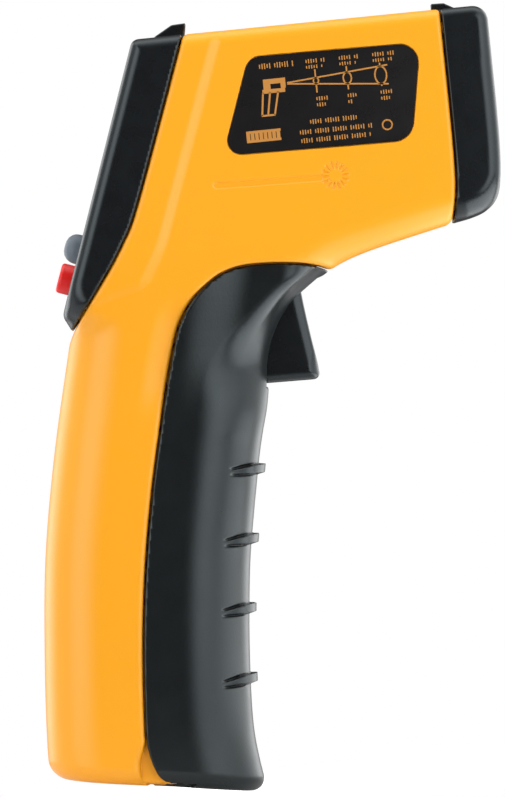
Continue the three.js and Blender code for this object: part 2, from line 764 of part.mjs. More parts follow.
const finish = (color, roughness, metalness = 0) => ({ color, roughness, metalness });
const FINISHES = {
  orange: finish(0xfeb42a, 0.42),
  black: finish(0x1b1d20, 0.4),
  grey: finish(0x6a727c, 0.5),
  red: finish(0xe11e23, 0.4),
  label: finish(0x141416, 0.55),
  board: finish(0x1f5c38, 0.6),
  component: finish(0x202226, 0.6),
  steel: finish(0xb4b8bc, 0.35, 1),
  brass: finish(0xc8a24a, 0.35, 1),
  clear: finish(0xdfe8ea, 0.08),
  lens: finish(0xd9d4c2, 0.2),
  glass: finish(0x8fa08a, 0.15),
  white: finish(0xe9e9e4, 0.6),
  cell: finish(0x2f5f8f, 0.4, 0.3),
};

function piece(name, solid, slot) {
  const mesh = new THREE.Mesh(geometryOf(solid), new THREE.MeshStandardMaterial(FINISHES[slot]));
  mesh.name = name;
  return mesh;
}

const thermometer = new THREE.Group();
thermometer.add(
  piece("casing_right", casingHalf(-1), "orange"),
  piece("casing_left", casingHalf(1), "orange"),
  piece("label_right", label(-1), "label"),
  piece("label_left", label(1), "label"),
  piece("nose_cap", noseCap(), "black"),
  piece("display_bezel", displayBezel(), "black"),
  piece("grip_door", gripDoor(), "black"),
  piece("door_hinge_pin", doorHingePin(), "steel"),
  piece("trigger", trigger(), "black"),
  piece("trigger_pin", triggerPin(), "steel"),
  piece("trigger_bracket", triggerBracket(), "component"),
  piece("trigger_spring", triggerSpring(), "steel"),
  piece("trigger_board", triggerBoard(), "board"),
  piece("trigger_switch", triggerSwitch(), "component"),
  piece("switch_plunger", switchPlunger(), "white"),
  piece("infrared_lens", infraredLens(), "lens"),
  piece("optic_tube", opticTube(), "component"),
  piece("thermopile_sensor", sensorCan(), "steel"),
  piece("sensor_board", sensorBoard(), "board"),
  piece("laser_module", laserModule(), "brass"),
  piece("laser_holder", laserHolder(), "component"),
  piece("main_board", mainBoard(), "board"),
  piece("controller_chip", controllerChip(), "component"),
  piece("buzzer", buzzer(), "component"),
);
CASING_BOSSES.forEach((place, i) => {
  thermometer.add(piece(`casing_screw_${i + 1}`, casingScrew(place), "steel"));
});

const display = new THREE.Group();
display.position.copy(DISPLAY_CENTRE);
display.rotation.y = REAR_TILT;
display.add(
  piece("display_window", displayPiece.display_window(), "clear"),
  piece("display_glass", displayPiece.display_glass(), "glass"),
  piece("display_backlight", displayPiece.display_backlight(), "white"),
  piece("display_board", displayPiece.display_board(), "board"),
);
for (const [name, place] of Object.entries(BUTTONS)) {
  display.add(piece(name, button(place), name === "button_mode" ? "red" : "grey"));
  display.add(piece(name.replace("button", "switch"), buttonSwitch(place), "component"));
}
thermometer.add(display);

const power = new THREE.Group();
power.position.copy(TRAY_CENTRE);
power.rotation.y = HANDLE_TILT;
power.add(piece("battery_tray", batteryTray(), "component"));
[-1, 1].forEach((side, i) => {
  const battery = piece(`battery_${i + 1}`, cell(), "cell");
  battery.position.set(CELL_X, side * CELL_Y, side * 2.7);
  battery.rotation.x = side > 0 ? 0 : Math.PI;
  const coil = spring("z", 2.6, 0.6, 6.8, 4);
  const spiral = piece(`contact_spring_${i + 1}`, coil, "steel");
  spiral.position.set(CELL_X, side * CELL_Y, side * (2.1 - TRAY_HALF_LENGTH));
  spiral.rotation.x = side > 0 ? 0 : Math.PI;
  const plate = piece(`contact_plate_${i + 1}`, contactPlate(), "brass");
  plate.position.set(CELL_X, side * CELL_Y, side * (TRAY_HALF_LENGTH - 2.2));
  power.add(battery, spiral, plate);
});
thermometer.add(power);

export default thermometer;
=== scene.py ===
"""Infrared thermometer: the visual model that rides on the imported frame, its materials, light and camera.

Shapes are worked out in millimetres, in the frame of the part: +X along the line of sight, +Z up, y = 0 on
the parting plane. The moulded shells are implicit solids (negative inside), meshed here and put exactly on
their surface.
"""
import json
import math

import bmesh
import bpy
import numpy as np
from mathutils import Matrix, Vector

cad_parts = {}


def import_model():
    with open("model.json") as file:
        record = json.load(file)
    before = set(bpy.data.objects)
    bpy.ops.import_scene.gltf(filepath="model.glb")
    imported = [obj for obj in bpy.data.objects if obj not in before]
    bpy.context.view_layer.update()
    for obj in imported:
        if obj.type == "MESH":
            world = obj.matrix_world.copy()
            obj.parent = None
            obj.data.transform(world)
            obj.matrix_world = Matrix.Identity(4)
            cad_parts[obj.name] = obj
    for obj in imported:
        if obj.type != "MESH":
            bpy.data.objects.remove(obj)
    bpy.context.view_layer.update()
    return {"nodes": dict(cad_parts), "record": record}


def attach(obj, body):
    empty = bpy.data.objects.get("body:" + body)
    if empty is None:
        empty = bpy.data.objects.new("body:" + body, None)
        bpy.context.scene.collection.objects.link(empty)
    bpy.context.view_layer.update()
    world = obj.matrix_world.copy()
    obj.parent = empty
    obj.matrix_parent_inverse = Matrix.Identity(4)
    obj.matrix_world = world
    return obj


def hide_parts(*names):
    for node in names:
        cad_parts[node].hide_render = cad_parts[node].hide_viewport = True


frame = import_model()

MM = 0.001

# Driving dimensions, as in the part's design.
LENGTH, HEIGHT, WIDTH = 101.0, 153.0, 43.0
FRONT, REAR, POD_HALF = LENGTH / 2, -LENGTH / 2, WIDTH / 2
TOP = HEIGHT - 3.2
WALL = 2.0
SEAM = 0.16            # half of the gap between two outer shells
EDGE = 0.35            # rounding of a black shell's edge at a seam
FLANK_HALF = 20.8      # half width of the barrel in front of the display pod
REAR_TILT = math.radians(20.5)
HANDLE_TILT = math.radians(8.5)
DISPLAY_CENTRE = np.array([-29.2, 0.0, 124.0])
TRAY_CENTRE = np.array([-30.0, 0.0, 50.0])
DOOR_PIVOT = (-26.4, 6.7)
TRIGGER_PIVOT = (2.5, 100.5)
TRIGGER_HALF = 6.0
OPTIC_Z, LASER_Z = 127.5, 142.2
LENS_RADIUS = 8.6
CHEEK = 14.7           # half width over the hinge ears of the casing
SCREW_PLACES = [(36, 113.4), (14, 109.5), (-16, 110), (-6, 138), (-28, 90), (-39, 14.5)]

# ---------------------------------------------------------------- flat outlines (x, z)


def smooth_line(points, per_span=6):
    """Points on a smooth curve through the given points."""
    p = np.array(points, float)
    p = np.vstack([2 * p[0] - p[1], p, 2 * p[-1] - p[-2]])
    out = []
    for a, b, c, d in zip(p, p[1:], p[2:], p[3:]):
        for t in np.arange(per_span) / per_span:
            out.append(0.5 * (2 * b + (c - a) * t + (2 * a - 5 * b + 4 * c - d) * t * t
                              + (3 * b - a - 3 * c + d) * t ** 3))
    return out + [p[-2]]


def arc(centre, radius, start, end, steps=10):
    angles = np.radians(np.linspace(start, end, steps + 1))
    return [np.array(centre) + radius * np.array([math.cos(a), math.sin(a)]) for a in angles]


def rounded_polygon(corners, steps=8):
    """Corners are (x, z, radius)."""
    out = []
    count = len(corners)
    for i, (x, z, radius) in enumerate(corners):
        here = np.array([x, z], float)
        before = np.array(corners[i - 1][:2]) - here
        after = np.array(corners[(i + 1) % count][:2]) - here
        before, after = before / np.linalg.norm(before), after / np.linalg.norm(after)
        half = math.acos(np.clip(before @ after, -1, 1)) / 2
        reach = radius / math.tan(half)
        middle = here + (before + after) / np.linalg.norm(before + after) * radius / math.sin(half)
        first, last = here + before * reach - middle, here + after * reach - middle
        for t in np.linspace(0, 1, steps + 1):
            way = first * (1 - t) + last * t
            out.append(middle + way / np.linalg.norm(way) * radius)
    return out


class Field:
    """The signed distance to a closed outline, negative inside, sampled smoothly at any (x, z)."""

    def __init__(self, outline, low=(-58.0, -8.0), high=(58.0, 160.0), step=0.5):
        self.low = np.array(low)
        self.step = step
        count = ((np.array(high) - self.low) / step).astype(int) + 1
        across, upward = (start + step * np.arange(n) for start, n in zip(low, count))
        gx, gz = np.meshgrid(across, upward, indexing="ij")
        ends = np.array(outline, float)
        best = np.full(gx.shape, 1e9)
        inside = np.zeros(gx.shape, bool)
        for (ax, az), (bx, bz) in zip(ends, np.roll(ends, -1, axis=0)):
            ex, ez = bx - ax, bz - az
            if ex * ex + ez * ez < 1e-12:
                continue
            t = np.clip(((gx - ax) * ex + (gz - az) * ez) / (ex * ex + ez * ez), 0, 1)
            best = np.minimum(best, (gx - ax - t * ex) ** 2 + (gz - az - t * ez) ** 2)
            if ez:
                inside ^= ((az > gz) != (bz > gz)) & (gx < ax + (gz - az) * ex / ez)
        grid = np.sqrt(best) * np.where(inside, -1, 1)
        around = np.pad(grid, 1, mode="edge")
        self.grid = (around[1:-1, 1:-1] * 4 + around[:-2, 1:-1] + around[2:, 1:-1]
                     + around[1:-1, :-2] + around[1:-1, 2:]) / 8

    def __call__(self, x, z):
        u = np.clip((x - self.low[0]) / self.step, 1, self.grid.shape[0] - 3)
        v = np.clip((z - self.low[1]) / self.step, 1, self.grid.shape[1] - 3)
        i, j = np.floor(u).astype(int), np.floor(v).astype(int)
        wu, wv = self.weights(u - i), self.weights(v - j)
        total = 0
        for k in range(4):
            for m in range(4):
                total = total + wu[k] * wv[m] * self.grid[i + k - 1, j + m - 1]
        return total

    @staticmethod
    def weights(t):
        return (((-0.5 * t + 1) * t - 0.5) * t, (1.5 * t - 2.5) * t * t + 1,
                ((-1.5 * t + 2) * t + 0.5) * t, (0.5 * t - 0.5) * t * t)


def convex(corners, x, z):
    """Signed distance (inside exact) to a convex outline given anticlockwise."""
    result = -1e9
    for (ax, az), (bx, bz) in zip(corners, corners[1:] + corners[:1]):
        size = math.hypot(bx - ax, bz - az)
        result = np.maximum(result, ((bz - az) * (x - ax) - (bx - ax) * (z - az)) / size)
    return result


def segment(start, end, x, z):
    """Distance to a straight line between two points."""
    ex, ez = end[0] - start[0], end[1] - start[1]
    t = np.clip(((x - start[0]) * ex + (z - start[1]) * ez) / (ex * ex + ez * ez), 0, 1)
    return np.hypot(x - start[0] - t * ex, z - start[1] - t * ez)


# ---------------------------------------------------------------- implicit solids


def both(first, *others):
    for other in others:
        first = np.maximum(first, other)
    return first


def either(first, *others):
    for other in others:
        first = np.minimum(first, other)
    return first


def round_both(a, b, radius):
    """Where both hold, with the edge between them rounded."""
    return (np.minimum(np.maximum(a, b) + radius, 0)
            + np.hypot(np.maximum(a + radius, 0), np.maximum(b + radius, 0)) - radius)


def soft_either(a, b, width):
    """Where either holds, with a soft fillet of about that width."""
    h = np.maximum(width - np.abs(a - b), 0) / width
    return np.minimum(a, b) - h * h * width / 4


def step_up(value, start, end):
    """0 at start, 1 at end, and smooth between; start may be the greater."""
    t = np.clip((value - start) / (end - start), 0, 1)
    return t * t * (3 - 2 * t)


def along(value, table):
    """Value from a short table of (place, value)."""
    places, values = zip(*table)
    return np.interp(value, places, values)


def smooth_along(value, table):
    """The same with its corners eased over 4 either way."""
    return sum(along(value + shift, table) for shift in (-4, -2, 0, 2, 4)) / 5


def to_display(x, y, z):
    """Coordinates on the display face: depth into the object, side, height along the face."""
    c, s = math.cos(REAR_TILT), math.sin(REAR_TILT)
    dx, dz = x - DISPLAY_CENTRE[0], z - DISPLAY_CENTRE[2]
    return dx * c - dz * s, y, dx * s + dz * c


BODY_OUTLINE = (
    arc((-18.4, TOP - 1.7), 1.7, 159, 90)
    + arc((FRONT - 3, TOP - 3.2), 3.0, 90, 3)
    + smooth_line([(FRONT, 140), (FRONT, 130), (FRONT - 0.15, 122), (FRONT - 0.6, 116), (FRONT - 1.5, 112),
                   (47, 109.6), (44, 108.4), (39.3, 107.5), (32.2, 106), (27.6, 105), (23.3, 104),
                   (19.8, 103), (16.6, 101.8), (13.3, 100), (10.6, 98.2), (6.9, 95.4), (4.5, 92.6),
                   (2.8, 89.8), (1.5, 86.9),
                   (0.7, 83.6), (0.35, 79.7), (-0.5, 75), (-1.9, 70), (-3.1, 65), (-4.1, 60), (-5.1, 55),
                   (-6.9, 45), (-8.4, 32), (-9.3, 20), (-9.5, 12), (-9.0, 6), (-8.4, 2), (-7.6, -3)])
    + [(-7, -40), (REAR, -40)]
    + smooth_line([(REAR, 2), (REAR, 13), (-49.3, 30), (-47.1, 50), (-43.3, 70), (-38.4, 90),
                   (-37.3, 94)], 12)
    + arc((-36.6, 97.1), 2.0, 215, 160, 6)
)
SOLE_OUTLINE = (
    smooth_line([(-60, 8.6), (-50, 6.6), (-44.2, 5.3), (-33.9, 3.6), (-28, 2.8), (-11, 0), (0, -1.2)])
    + [(80, -2), (80, 170), (-80, 170), (-80, 9)]
)
NOSE_OUTLINE = (
    smooth_line([(41.35, 156), (41.4, 130), (41.2, 118), (40.6, 112), (39.0, 105)])
    + [(80, 100), (80, 156)]
)
BEZEL_OUTLINE = (
    smooth_line([(-8.2, 153.6), (-15.5, 134), (-22.4, 116), (-25.5, 110), (-29.5, 104), (-38.5, 92)], 10)
    + [(-80, 88), (-80, 154)]
)
GRIP_OUTLINE = (
    smooth_line([(17.5, 98.6), (13.7, 101.2), (10.5, 102.3), (7.2, 102.9), (3, 103.3), (-1.2, 103.4),
                 (-4.5, 103.0), (-7.6, 101.9), (-10.3, 100.1), (-12.9, 97.8), (-15.3, 94.4),
                 (-17.2, 90), (-20.1, 80), (-22.6, 70), (-24.9, 60), (-26.85, 50), (-28.4, 40),
                 (-29.6, 30), (-30.45, 20), (-30.9, 13)])
    + smooth_line([(-30.9, 11), (-30.4, 8), (-29.3, 5.1), (-27.4, 3.0), (-24.6, 1.9), (-21, -3)])
    + [(-21, -20), (80, -20), (80, 90)]
)
LABEL_CORNERS = [(2.9, 144.0, 3.3), (36.7, 143.4, 3.6), (33.2, 124.5, 4.0), (-4.0, 125.2, 2.7)]
TRIGGER_OUTLINE = (
    smooth_line([(8.5, 97.5), (8.9, 93.5), (9.6, 88), (10.4, 82.6)])
    + arc((9.3, 80.9), 1.25, 20, -88, 6)
    + arc((-2.7, 81.2), 1.3, 270, 180, 6)
    + smooth_line([(-4.3, 86), (-3.6, 91), (-2.0, 95), (-0.6, 99)])
    + arc(TRIGGER_PIVOT, 3.0, 180, 36, 10)
)

BODY, SOLE, NOSE, BEZEL, GRIP = (
    Field(o) for o in (BODY_OUTLINE, SOLE_OUTLINE, NOSE_OUTLINE, BEZEL_OUTLINE, GRIP_OUTLINE)
)
LABEL = Field(rounded_polygon(LABEL_CORNERS), (-10, 118), (44, 150))
LEVER = Field(TRIGGER_OUTLINE, (-10, 74), (18, 108), 0.25)


def pod_amount(x, z):
    """1 on the raised pod round the display, 0 on the rest of the casing."""
    depth, _, up = to_display(x, 0, z)
    crease = 15.9 - 2.0 * step_up(-up, 8, 24)
    front = step_up(crease + 1.3 - depth, 0, 2.6)
    lower_edge = along(x, [(-40, 96.6), (-33, 98.4), (-28, 100), (-22, 101.2), (-10, 103)])
    below = step_up(z - lower_edge, -1.1, 1.3)
    return np.clip(1 - np.hypot(1 - front, 1 - below), 0, 1)


def half_width(x, z):
    handle = smooth_along(z, [(0, 16.3), (50, 16.6), (72, 17.0), (84, 17.9),
                              (94, 19.4), (102, 20.4), (110, 21)])
    nose = 0.3 * step_up(x, 41, 52)
    return np.minimum(handle, FLANK_HALF) - nose + (POD_HALF - FLANK_HALF) * pod_amount(x, z)


def edge_radius(x, z):
    lower = along(z, [(0, 12.0), (80, 12.0), (96, 11.0), (104, 7.5), (112, 6.5), (140, 3.0), (150, 2.6)])
    rear = step_up(-to_display(x, 0, z)[0], -16, -6) * step_up(z, 92, 104)
    front = step_up(x, 42, 46) * step_up(z, 110.5, 117)
    lower = lower * (1 - 0.2 * step_up(x, 39, 43))
    low_grip = step_up(z, 101, 80)
    grip = step_up(GRIP(x, z), 2, -4) * (1.4 * low_grip + (4.8 - lower) * (1 - low_grip))
    return lower + grip + (np.minimum(lower, 2.6) - lower) * np.maximum(rear, front)


def body(x, y, z):
    sides = round_both(BODY(x, z), np.abs(y) - half_width(x, z), edge_radius(x, z))
    return round_both(sides, SOLE(x, z), 3.3)


# ---------------------------------------------------------------- meshing


def surface_nets(solid, low, high, step):
    """Quads on the zero surface of solid, one vertex for each grid cell that the surface crosses."""
    axes = [np.arange(a - 1.5 * step, b + 2 * step, step) for a, b in zip(low, high)]
    values = np.empty([len(a) for a in axes], np.float32)
    for i in range(0, len(axes[0]), 24):
        x = axes[0][i:i + 24].reshape(-1, 1, 1)
        values[i:i + 24] = solid(x, axes[1].reshape(1, -1, 1), axes[2].reshape(1, 1, -1))
    inside = values < 0
    _, ny, nz = values.shape
    stride = (ny * nz, nz, 1)
    cells, points, flips = [], [], []
    for axis in range(3):
        near, far = [slice(None)] * 3, [slice(None)] * 3
        near[axis], far[axis] = slice(None, -1), slice(1, None)
        where = np.array(np.nonzero(inside[tuple(near)] != inside[tuple(far)]))
        first = values[tuple(where)]
        ahead = where.copy()
        ahead[axis] += 1
        place = np.array([axes[k][where[k]] for k in range(3)], float)
        place[axis] += step * first / (first - values[tuple(ahead)])
        u, v = stride[(axis + 1) % 3], stride[(axis + 2) % 3]
        base = where[0] * stride[0] + where[1] * stride[1] + where[2]
        cells.append(np.stack([base, base - u, base - u - v, base - v], axis=1))
        points.append(place.T)
        flips.append(first < 0)
    cells, points, flips = np.concatenate(cells), np.concatenate(points), np.concatenate(flips)
    _, corner = np.unique(cells.ravel(), return_inverse=True)
    share = np.bincount(corner)
    spread = np.repeat(points, 4, axis=0)
    vertices = np.stack([np.bincount(corner, spread[:, k]) / share for k in range(3)], axis=1)
    quads = corner.reshape(-1, 4)
    quads[~flips] = quads[~flips][:, ::-1]
    return vertices, quads


def slopes(solid, points, reach=0.03):
    """The value and the gradient of solid at each point."""
    value = solid(*points.T)
    slope = np.empty_like(points)
    for k in range(3):
        offset = np.zeros(3)
        offset[k] = reach
        slope[:, k] = (solid(*(points + offset).T) - value) / reach
    return value, slope


def settle(solid, points, rounds, most):
    """Moves points onto the zero surface of solid."""
    for _ in range(rounds):
        value, slope = slopes(solid, points)
        size = np.maximum((slope ** 2).sum(axis=1), 0.05)
        move = slope * (value / size)[:, None]
        length = np.linalg.norm(move, axis=1, keepdims=True)
        points = points - move * np.minimum(1, most / np.maximum(length, 1e-9))
    return points


def new_object(name, vertices, faces, finish, place=None):
    mesh = bpy.data.meshes.new(name)
    mesh.from_pydata(np.asarray(vertices, float) * MM, [], [list(f) for f in faces])
    if place is not None:
        mesh.transform(place)
    mesh.update()
    mesh.materials.append(finish)
    made = bpy.data.objects.new(name, mesh)
    bpy.context.collection.objects.link(made)
    return made


def refine(mesh, area):
    """Cuts each face whose middle lies in area, a function of (x, y, z), into four."""
    cut = bmesh.new()
    cut.from_mesh(mesh)
    chosen = set()
    for face in cut.faces:
        if area(*(face.calc_center_median() / MM)):
            chosen.update(face.edges)
    bmesh.ops.subdivide_edges(cut, edges=list(chosen), cuts=2, use_grid_fill=True)
    cut.to_mesh(mesh)
    cut.free()


def moulded(name, solid, low, high, step, finish, fine_area=None):
    """An object on the zero surface of an implicit solid, with finer faces in fine_area."""
    vertices, quads = surface_nets(solid, low, high, step)
    vertices = settle(solid, vertices, 2, 0.25)
    made = new_object(name, vertices, quads, finish)
    mesh = made.data
    if fine_area:
        refine(mesh, fine_area)
    points = np.empty(len(mesh.vertices) * 3)
    mesh.vertices.foreach_get("co", points)
    points = settle(solid, points.reshape(-1, 3) / MM, 1, 0.15)
    mesh.vertices.foreach_set("co", (points * MM).ravel())
    normals = slopes(solid, points)[1]
    normals /= np.maximum(np.linalg.norm(normals, axis=1, keepdims=True), 1e-9)
    mesh.shade_smooth()
    mesh.normals_split_custom_set_from_vertices(normals)
    mesh.update()
    return made


def basis(origin, u, v, w):
    """The matrix that takes (u, v, w) in millimetres off origin to the object's frame in metres."""
    matrix = Matrix((u, v, w)).transposed().to_4x4()
    matrix.translation = Vector(origin) * MM
    return matrix


TILT_C, TILT_S = math.cos(REAR_TILT), math.sin(REAR_TILT)
DISPLAY_PLACE = basis(DISPLAY_CENTRE, (0, 1, 0), (TILT_S, 0, TILT_C), (TILT_C, 0, -TILT_S))
HAND_C, HAND_S = math.cos(HANDLE_TILT), math.sin(HANDLE_TILT)
TRAY_PLACE = basis(TRAY_CENTRE, (HAND_C, 0, -HAND_S), (0, 1, 0), (HAND_S, 0, HAND_C))


def plates(name, outlines, low, high, finish, place, bevel=0.0):
    """Flat pieces with the given (u, v) outlines, from w = low to high, as one object."""
    vertices, faces = [], []
    for outline in outlines:
        start, count = len(vertices), len(outline)
        vertices += [(u, v, low) for u, v in outline] + [(u, v, high) for u, v in outline]
        faces.append([start + i for i in reversed(range(count))])
        faces.append([start + count + i for i in range(count)])
        for i in range(count):
            j = (i + 1) % count
            faces.append([start + i, start + j, start + count + j, start + count + i])
    made = new_object(name, vertices, faces, finish, place)
    work = bmesh.new()
    work.from_mesh(made.data)
    bmesh.ops.recalc_face_normals(work, faces=work.faces)
    if bevel:
        sharp = [e for e in work.edges if e.calc_face_angle(0) > 0.9]
        bmesh.ops.bevel(work, geom=sharp, offset=bevel * MM, segments=3, profile=0.6, affect="EDGES")
    work.to_mesh(made.data)
    work.free()
    made.data.shade_smooth()
    made.data.set_sharp_from_angle(angle=math.radians(35))
    return made


def turned(name, profile, finish, place, segments=72):
    """A turned piece. profile is (radius, w) from end to end."""
    vertices, faces = [], []
    count = len(profile)
    for s in range(segments):
        angle = 2 * math.pi * s / segments
        vertices += [(r * math.cos(angle), r * math.sin(angle), w) for r, w in profile]
        for i in range(count - 1):
            a, b = s * count + i, (s + 1) % segments * count + i
            faces.append((a, b, b + 1, a + 1))
    made = new_object(name, vertices, faces, finish, place)
    work = bmesh.new()
    work.from_mesh(made.data)
    bmesh.ops.remove_doubles(work, verts=work.verts, dist=1e-6)
    bmesh.ops.dissolve_degenerate(work, edges=work.edges, dist=1e-7)
    bmesh.ops.recalc_face_normals(work, faces=work.faces)
    work.to_mesh(made.data)
    work.free()
    made.data.shade_smooth()
    made.data.set_sharp_from_angle(angle=math.radians(40))
    return made


def coil(name, radius, wire, length, turns, finish, place, segments=28):
    """A spring along w, its ends closed flat."""
    steps = int(turns * segments)
    vertices, faces = [], []
    sides = 10
    for i in range(steps + 1):
        t = i / steps
        angle = 2 * math.pi * turns * t
        w = wire / 2 + (length - wire) * step_up(t, 0.0, 1.0) * 0.35 + (length - wire) * t * 0.65
        out = np.array([math.cos(angle), math.sin(angle), 0])
        for k in range(sides):
            a = 2 * math.pi * k / sides
            outward, lengthwise = wire / 2 * math.cos(a), wire / 2 * math.sin(a)
            vertices.append(out * (radius + outward) + np.array([0, 0, w + lengthwise]))
            if i < steps:
                b, c = i * sides + k, i * sides + (k + 1) % sides
                faces.append((b, b + sides, c + sides, c))
    faces.append(list(range(sides)))
    faces.append([steps * sides + k for k in reversed(range(sides))])
    made = new_object(name, vertices, faces, finish, place)
    work = bmesh.new()
    work.from_mesh(made.data)
    bmesh.ops.recalc_face_normals(work, faces=work.faces)
    work.to_mesh(made.data)
    work.free()
    made.data.shade_smooth()
    return made


def fitted(made, on, slot_name, *instead_of):
    """Says which body the piece moves with and hides the design nodes it stands in for. slot_name is not
    used.
    """
    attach(made, on)
    if instead_of:
        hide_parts(*instead_of)


# ---------------------------------------------------------------- materials


def srgb(r, g, b):
    return tuple(c / 255 / 12.92 if c <= 10 else ((c / 255 + 0.055) / 1.055) ** 2.4 for c in (r, g, b))


def material(name, color, roughness, metallic=0.0):
    made = bpy.data.materials.new(name)
    made.use_nodes = True
    shader = made.node_tree.nodes["Principled BSDF"]
    shader.inputs["Base Color"].default_value = (*color, 1)
    shader.inputs["Roughness"].default_value = roughness
    shader.inputs["Metallic"].default_value = metallic
    return made, made.node_tree, shader


def noise(tree, scale, detail=2.0):
    source = tree.nodes.new("ShaderNodeTexCoord")
    texture = tree.nodes.new("ShaderNodeTexNoise")
    texture.inputs["Scale"].default_value = scale
    texture.inputs["Detail"].default_value = detail
    tree.links.new(source.outputs["Object"], texture.inputs["Vector"])
    return texture.outputs["Fac"]


def bump(tree, shader, height, strength, distance):
    node = tree.nodes.new("ShaderNodeBump")
    node.inputs["Strength"].default_value = strength
    node.inputs["Distance"].default_value = distance
    tree.links.new(height, node.inputs["Height"])
    tree.links.new(node.outputs["Normal"], shader.inputs["Normal"])


def between(tree, amount, low, high):
    """Maps a 0 to 1 output onto a range."""
    node = tree.nodes.new("ShaderNodeMapRange")
    node.inputs["To Min"].default_value = low
    node.inputs["To Max"].default_value = high
    tree.links.new(amount, node.inputs["Value"])
    return node.outputs["Result"]


def tinted(tree, shader, amount, color_a, color_b):
    mix = tree.nodes.new("ShaderNodeMix")
    mix.data_type = "RGBA"
    mix.inputs[6].default_value = (*color_a, 1)
    mix.inputs[7].default_value = (*color_b, 1)
    tree.links.new(amount, mix.inputs[0])
    tree.links.new(mix.outputs[2], shader.inputs["Base Color"])


def scaled(color, factor):
    return tuple(c * factor for c in color)


def finish_of(name, color, roughness, grain=2400.0, depth=0.00003, drift=0.06, metallic=0.0, gloss=(1, 1, 1)):
    """A surface with faint colour drift, a fine grain, and gloss that varies a little."""
    made, tree, shader = material(name, color, roughness, metallic)
    shader.inputs["Specular Tint"].default_value = (*gloss, 1)
    tinted(tree, shader, noise(tree, 70.0), scaled(color, 1 - drift), scaled(color, 1 + drift))
    bump(tree, shader, noise(tree, grain, 3.0), 0.35, depth)
    uneven = between(tree, noise(tree, 240.0), roughness - 0.04, roughness + 0.05)
    tree.links.new(uneven, shader.inputs["Roughness"])
    return made, shader


def clear_finish():
    made, tree, shader = material("window_clear", (0.86, 0.9, 0.92), 0.04)
    shader.inputs["Transmission Weight"].default_value = 1.0
    shader.inputs["IOR"].default_value = 1.49
    tree.links.new(between(tree, noise(tree, 160.0), 0.02, 0.07), shader.inputs["Roughness"])
    tinted(tree, shader, noise(tree, 40.0), (0.84, 0.88, 0.9), (0.88, 0.91, 0.93))
    return made


def lens_finish():
    """Milky infrared lens with fine moulded rings."""
    made, tree, shader = material("lens_milky", srgb(205, 200, 186), 0.18)
    shader.inputs["Subsurface Weight"].default_value = 0.25
    shader.inputs["Subsurface Radius"].default_value = (0.002, 0.0018, 0.0014)
    shader.inputs["Coat Weight"].default_value = 0.6
    source = tree.nodes.new("ShaderNodeTexCoord")
    shift = tree.nodes.new("ShaderNodeMapping")
    shift.inputs["Location"].default_value = (0, 0, -OPTIC_Z * MM)
    rings = tree.nodes.new("ShaderNodeTexWave")
    rings.wave_type = "RINGS"
    rings.rings_direction = "X"
    rings.inputs["Scale"].default_value = 420.0
    tree.links.new(source.outputs["Object"], shift.inputs["Vector"])
    tree.links.new(shift.outputs["Vector"], rings.inputs["Vector"])
    bump(tree, shader, rings.outputs["Fac"], 0.25, 0.00008)
    tinted(tree, shader, noise(tree, 120.0), srgb(198, 193, 178), srgb(212, 207, 194))
    return made


def board_finish():
    """Laminate with faint copper tracks under the mask."""
    made, tree, shader = material("board_laminate", srgb(28, 92, 52), 0.4)
    source = tree.nodes.new("ShaderNodeTexCoord")
    tracks = tree.nodes.new("ShaderNodeTexBrick")
    tracks.inputs["Scale"].default_value = 260.0
    tracks.inputs["Color1"].default_value = (*srgb(26, 88, 50), 1)
    tracks.inputs["Color2"].default_value = (*srgb(30, 98, 56), 1)
    tracks.inputs["Mortar"].default_value = (*srgb(52, 130, 78), 1)
    tracks.inputs["Mortar Size"].default_value = 0.03
    tree.links.new(source.outputs["Object"], tracks.inputs["Vector"])
    tree.links.new(tracks.outputs["Color"], shader.inputs["Base Color"])
    bump(tree, shader, tracks.outputs["Fac"], 0.3, 0.00004)
    return made


def cell_finish():
    """A printed sleeve: blue with a pale band towards the positive end."""
    made, tree, shader = material("cell_sleeve", srgb(38, 84, 132), 0.3)
    source = tree.nodes.new("ShaderNodeTexCoord")
    split = tree.nodes.new("ShaderNodeSeparateXYZ")
    ramp = tree.nodes.new("ShaderNodeValToRGB")
    ramp.color_ramp.interpolation = "CONSTANT"
    ramp.color_ramp.elements[0].color = (*srgb(36, 80, 128), 1)
    ramp.color_ramp.elements[1].position = 0.72
    ramp.color_ramp.elements[1].color = (*srgb(205, 208, 210), 1)
    last = ramp.color_ramp.elements.new(0.93)
    last.color = (*srgb(30, 62, 100), 1)
    tree.links.new(source.outputs["Generated"], split.inputs[0])
    tree.links.new(split.outputs["Z"], ramp.inputs["Fac"])
    tree.links.new(ramp.outputs["Color"], shader.inputs["Base Color"])
    shader.inputs["Coat Weight"].default_value = 0.3
    bump(tree, shader, noise(tree, 900.0), 0.2, 0.00002)
    return made


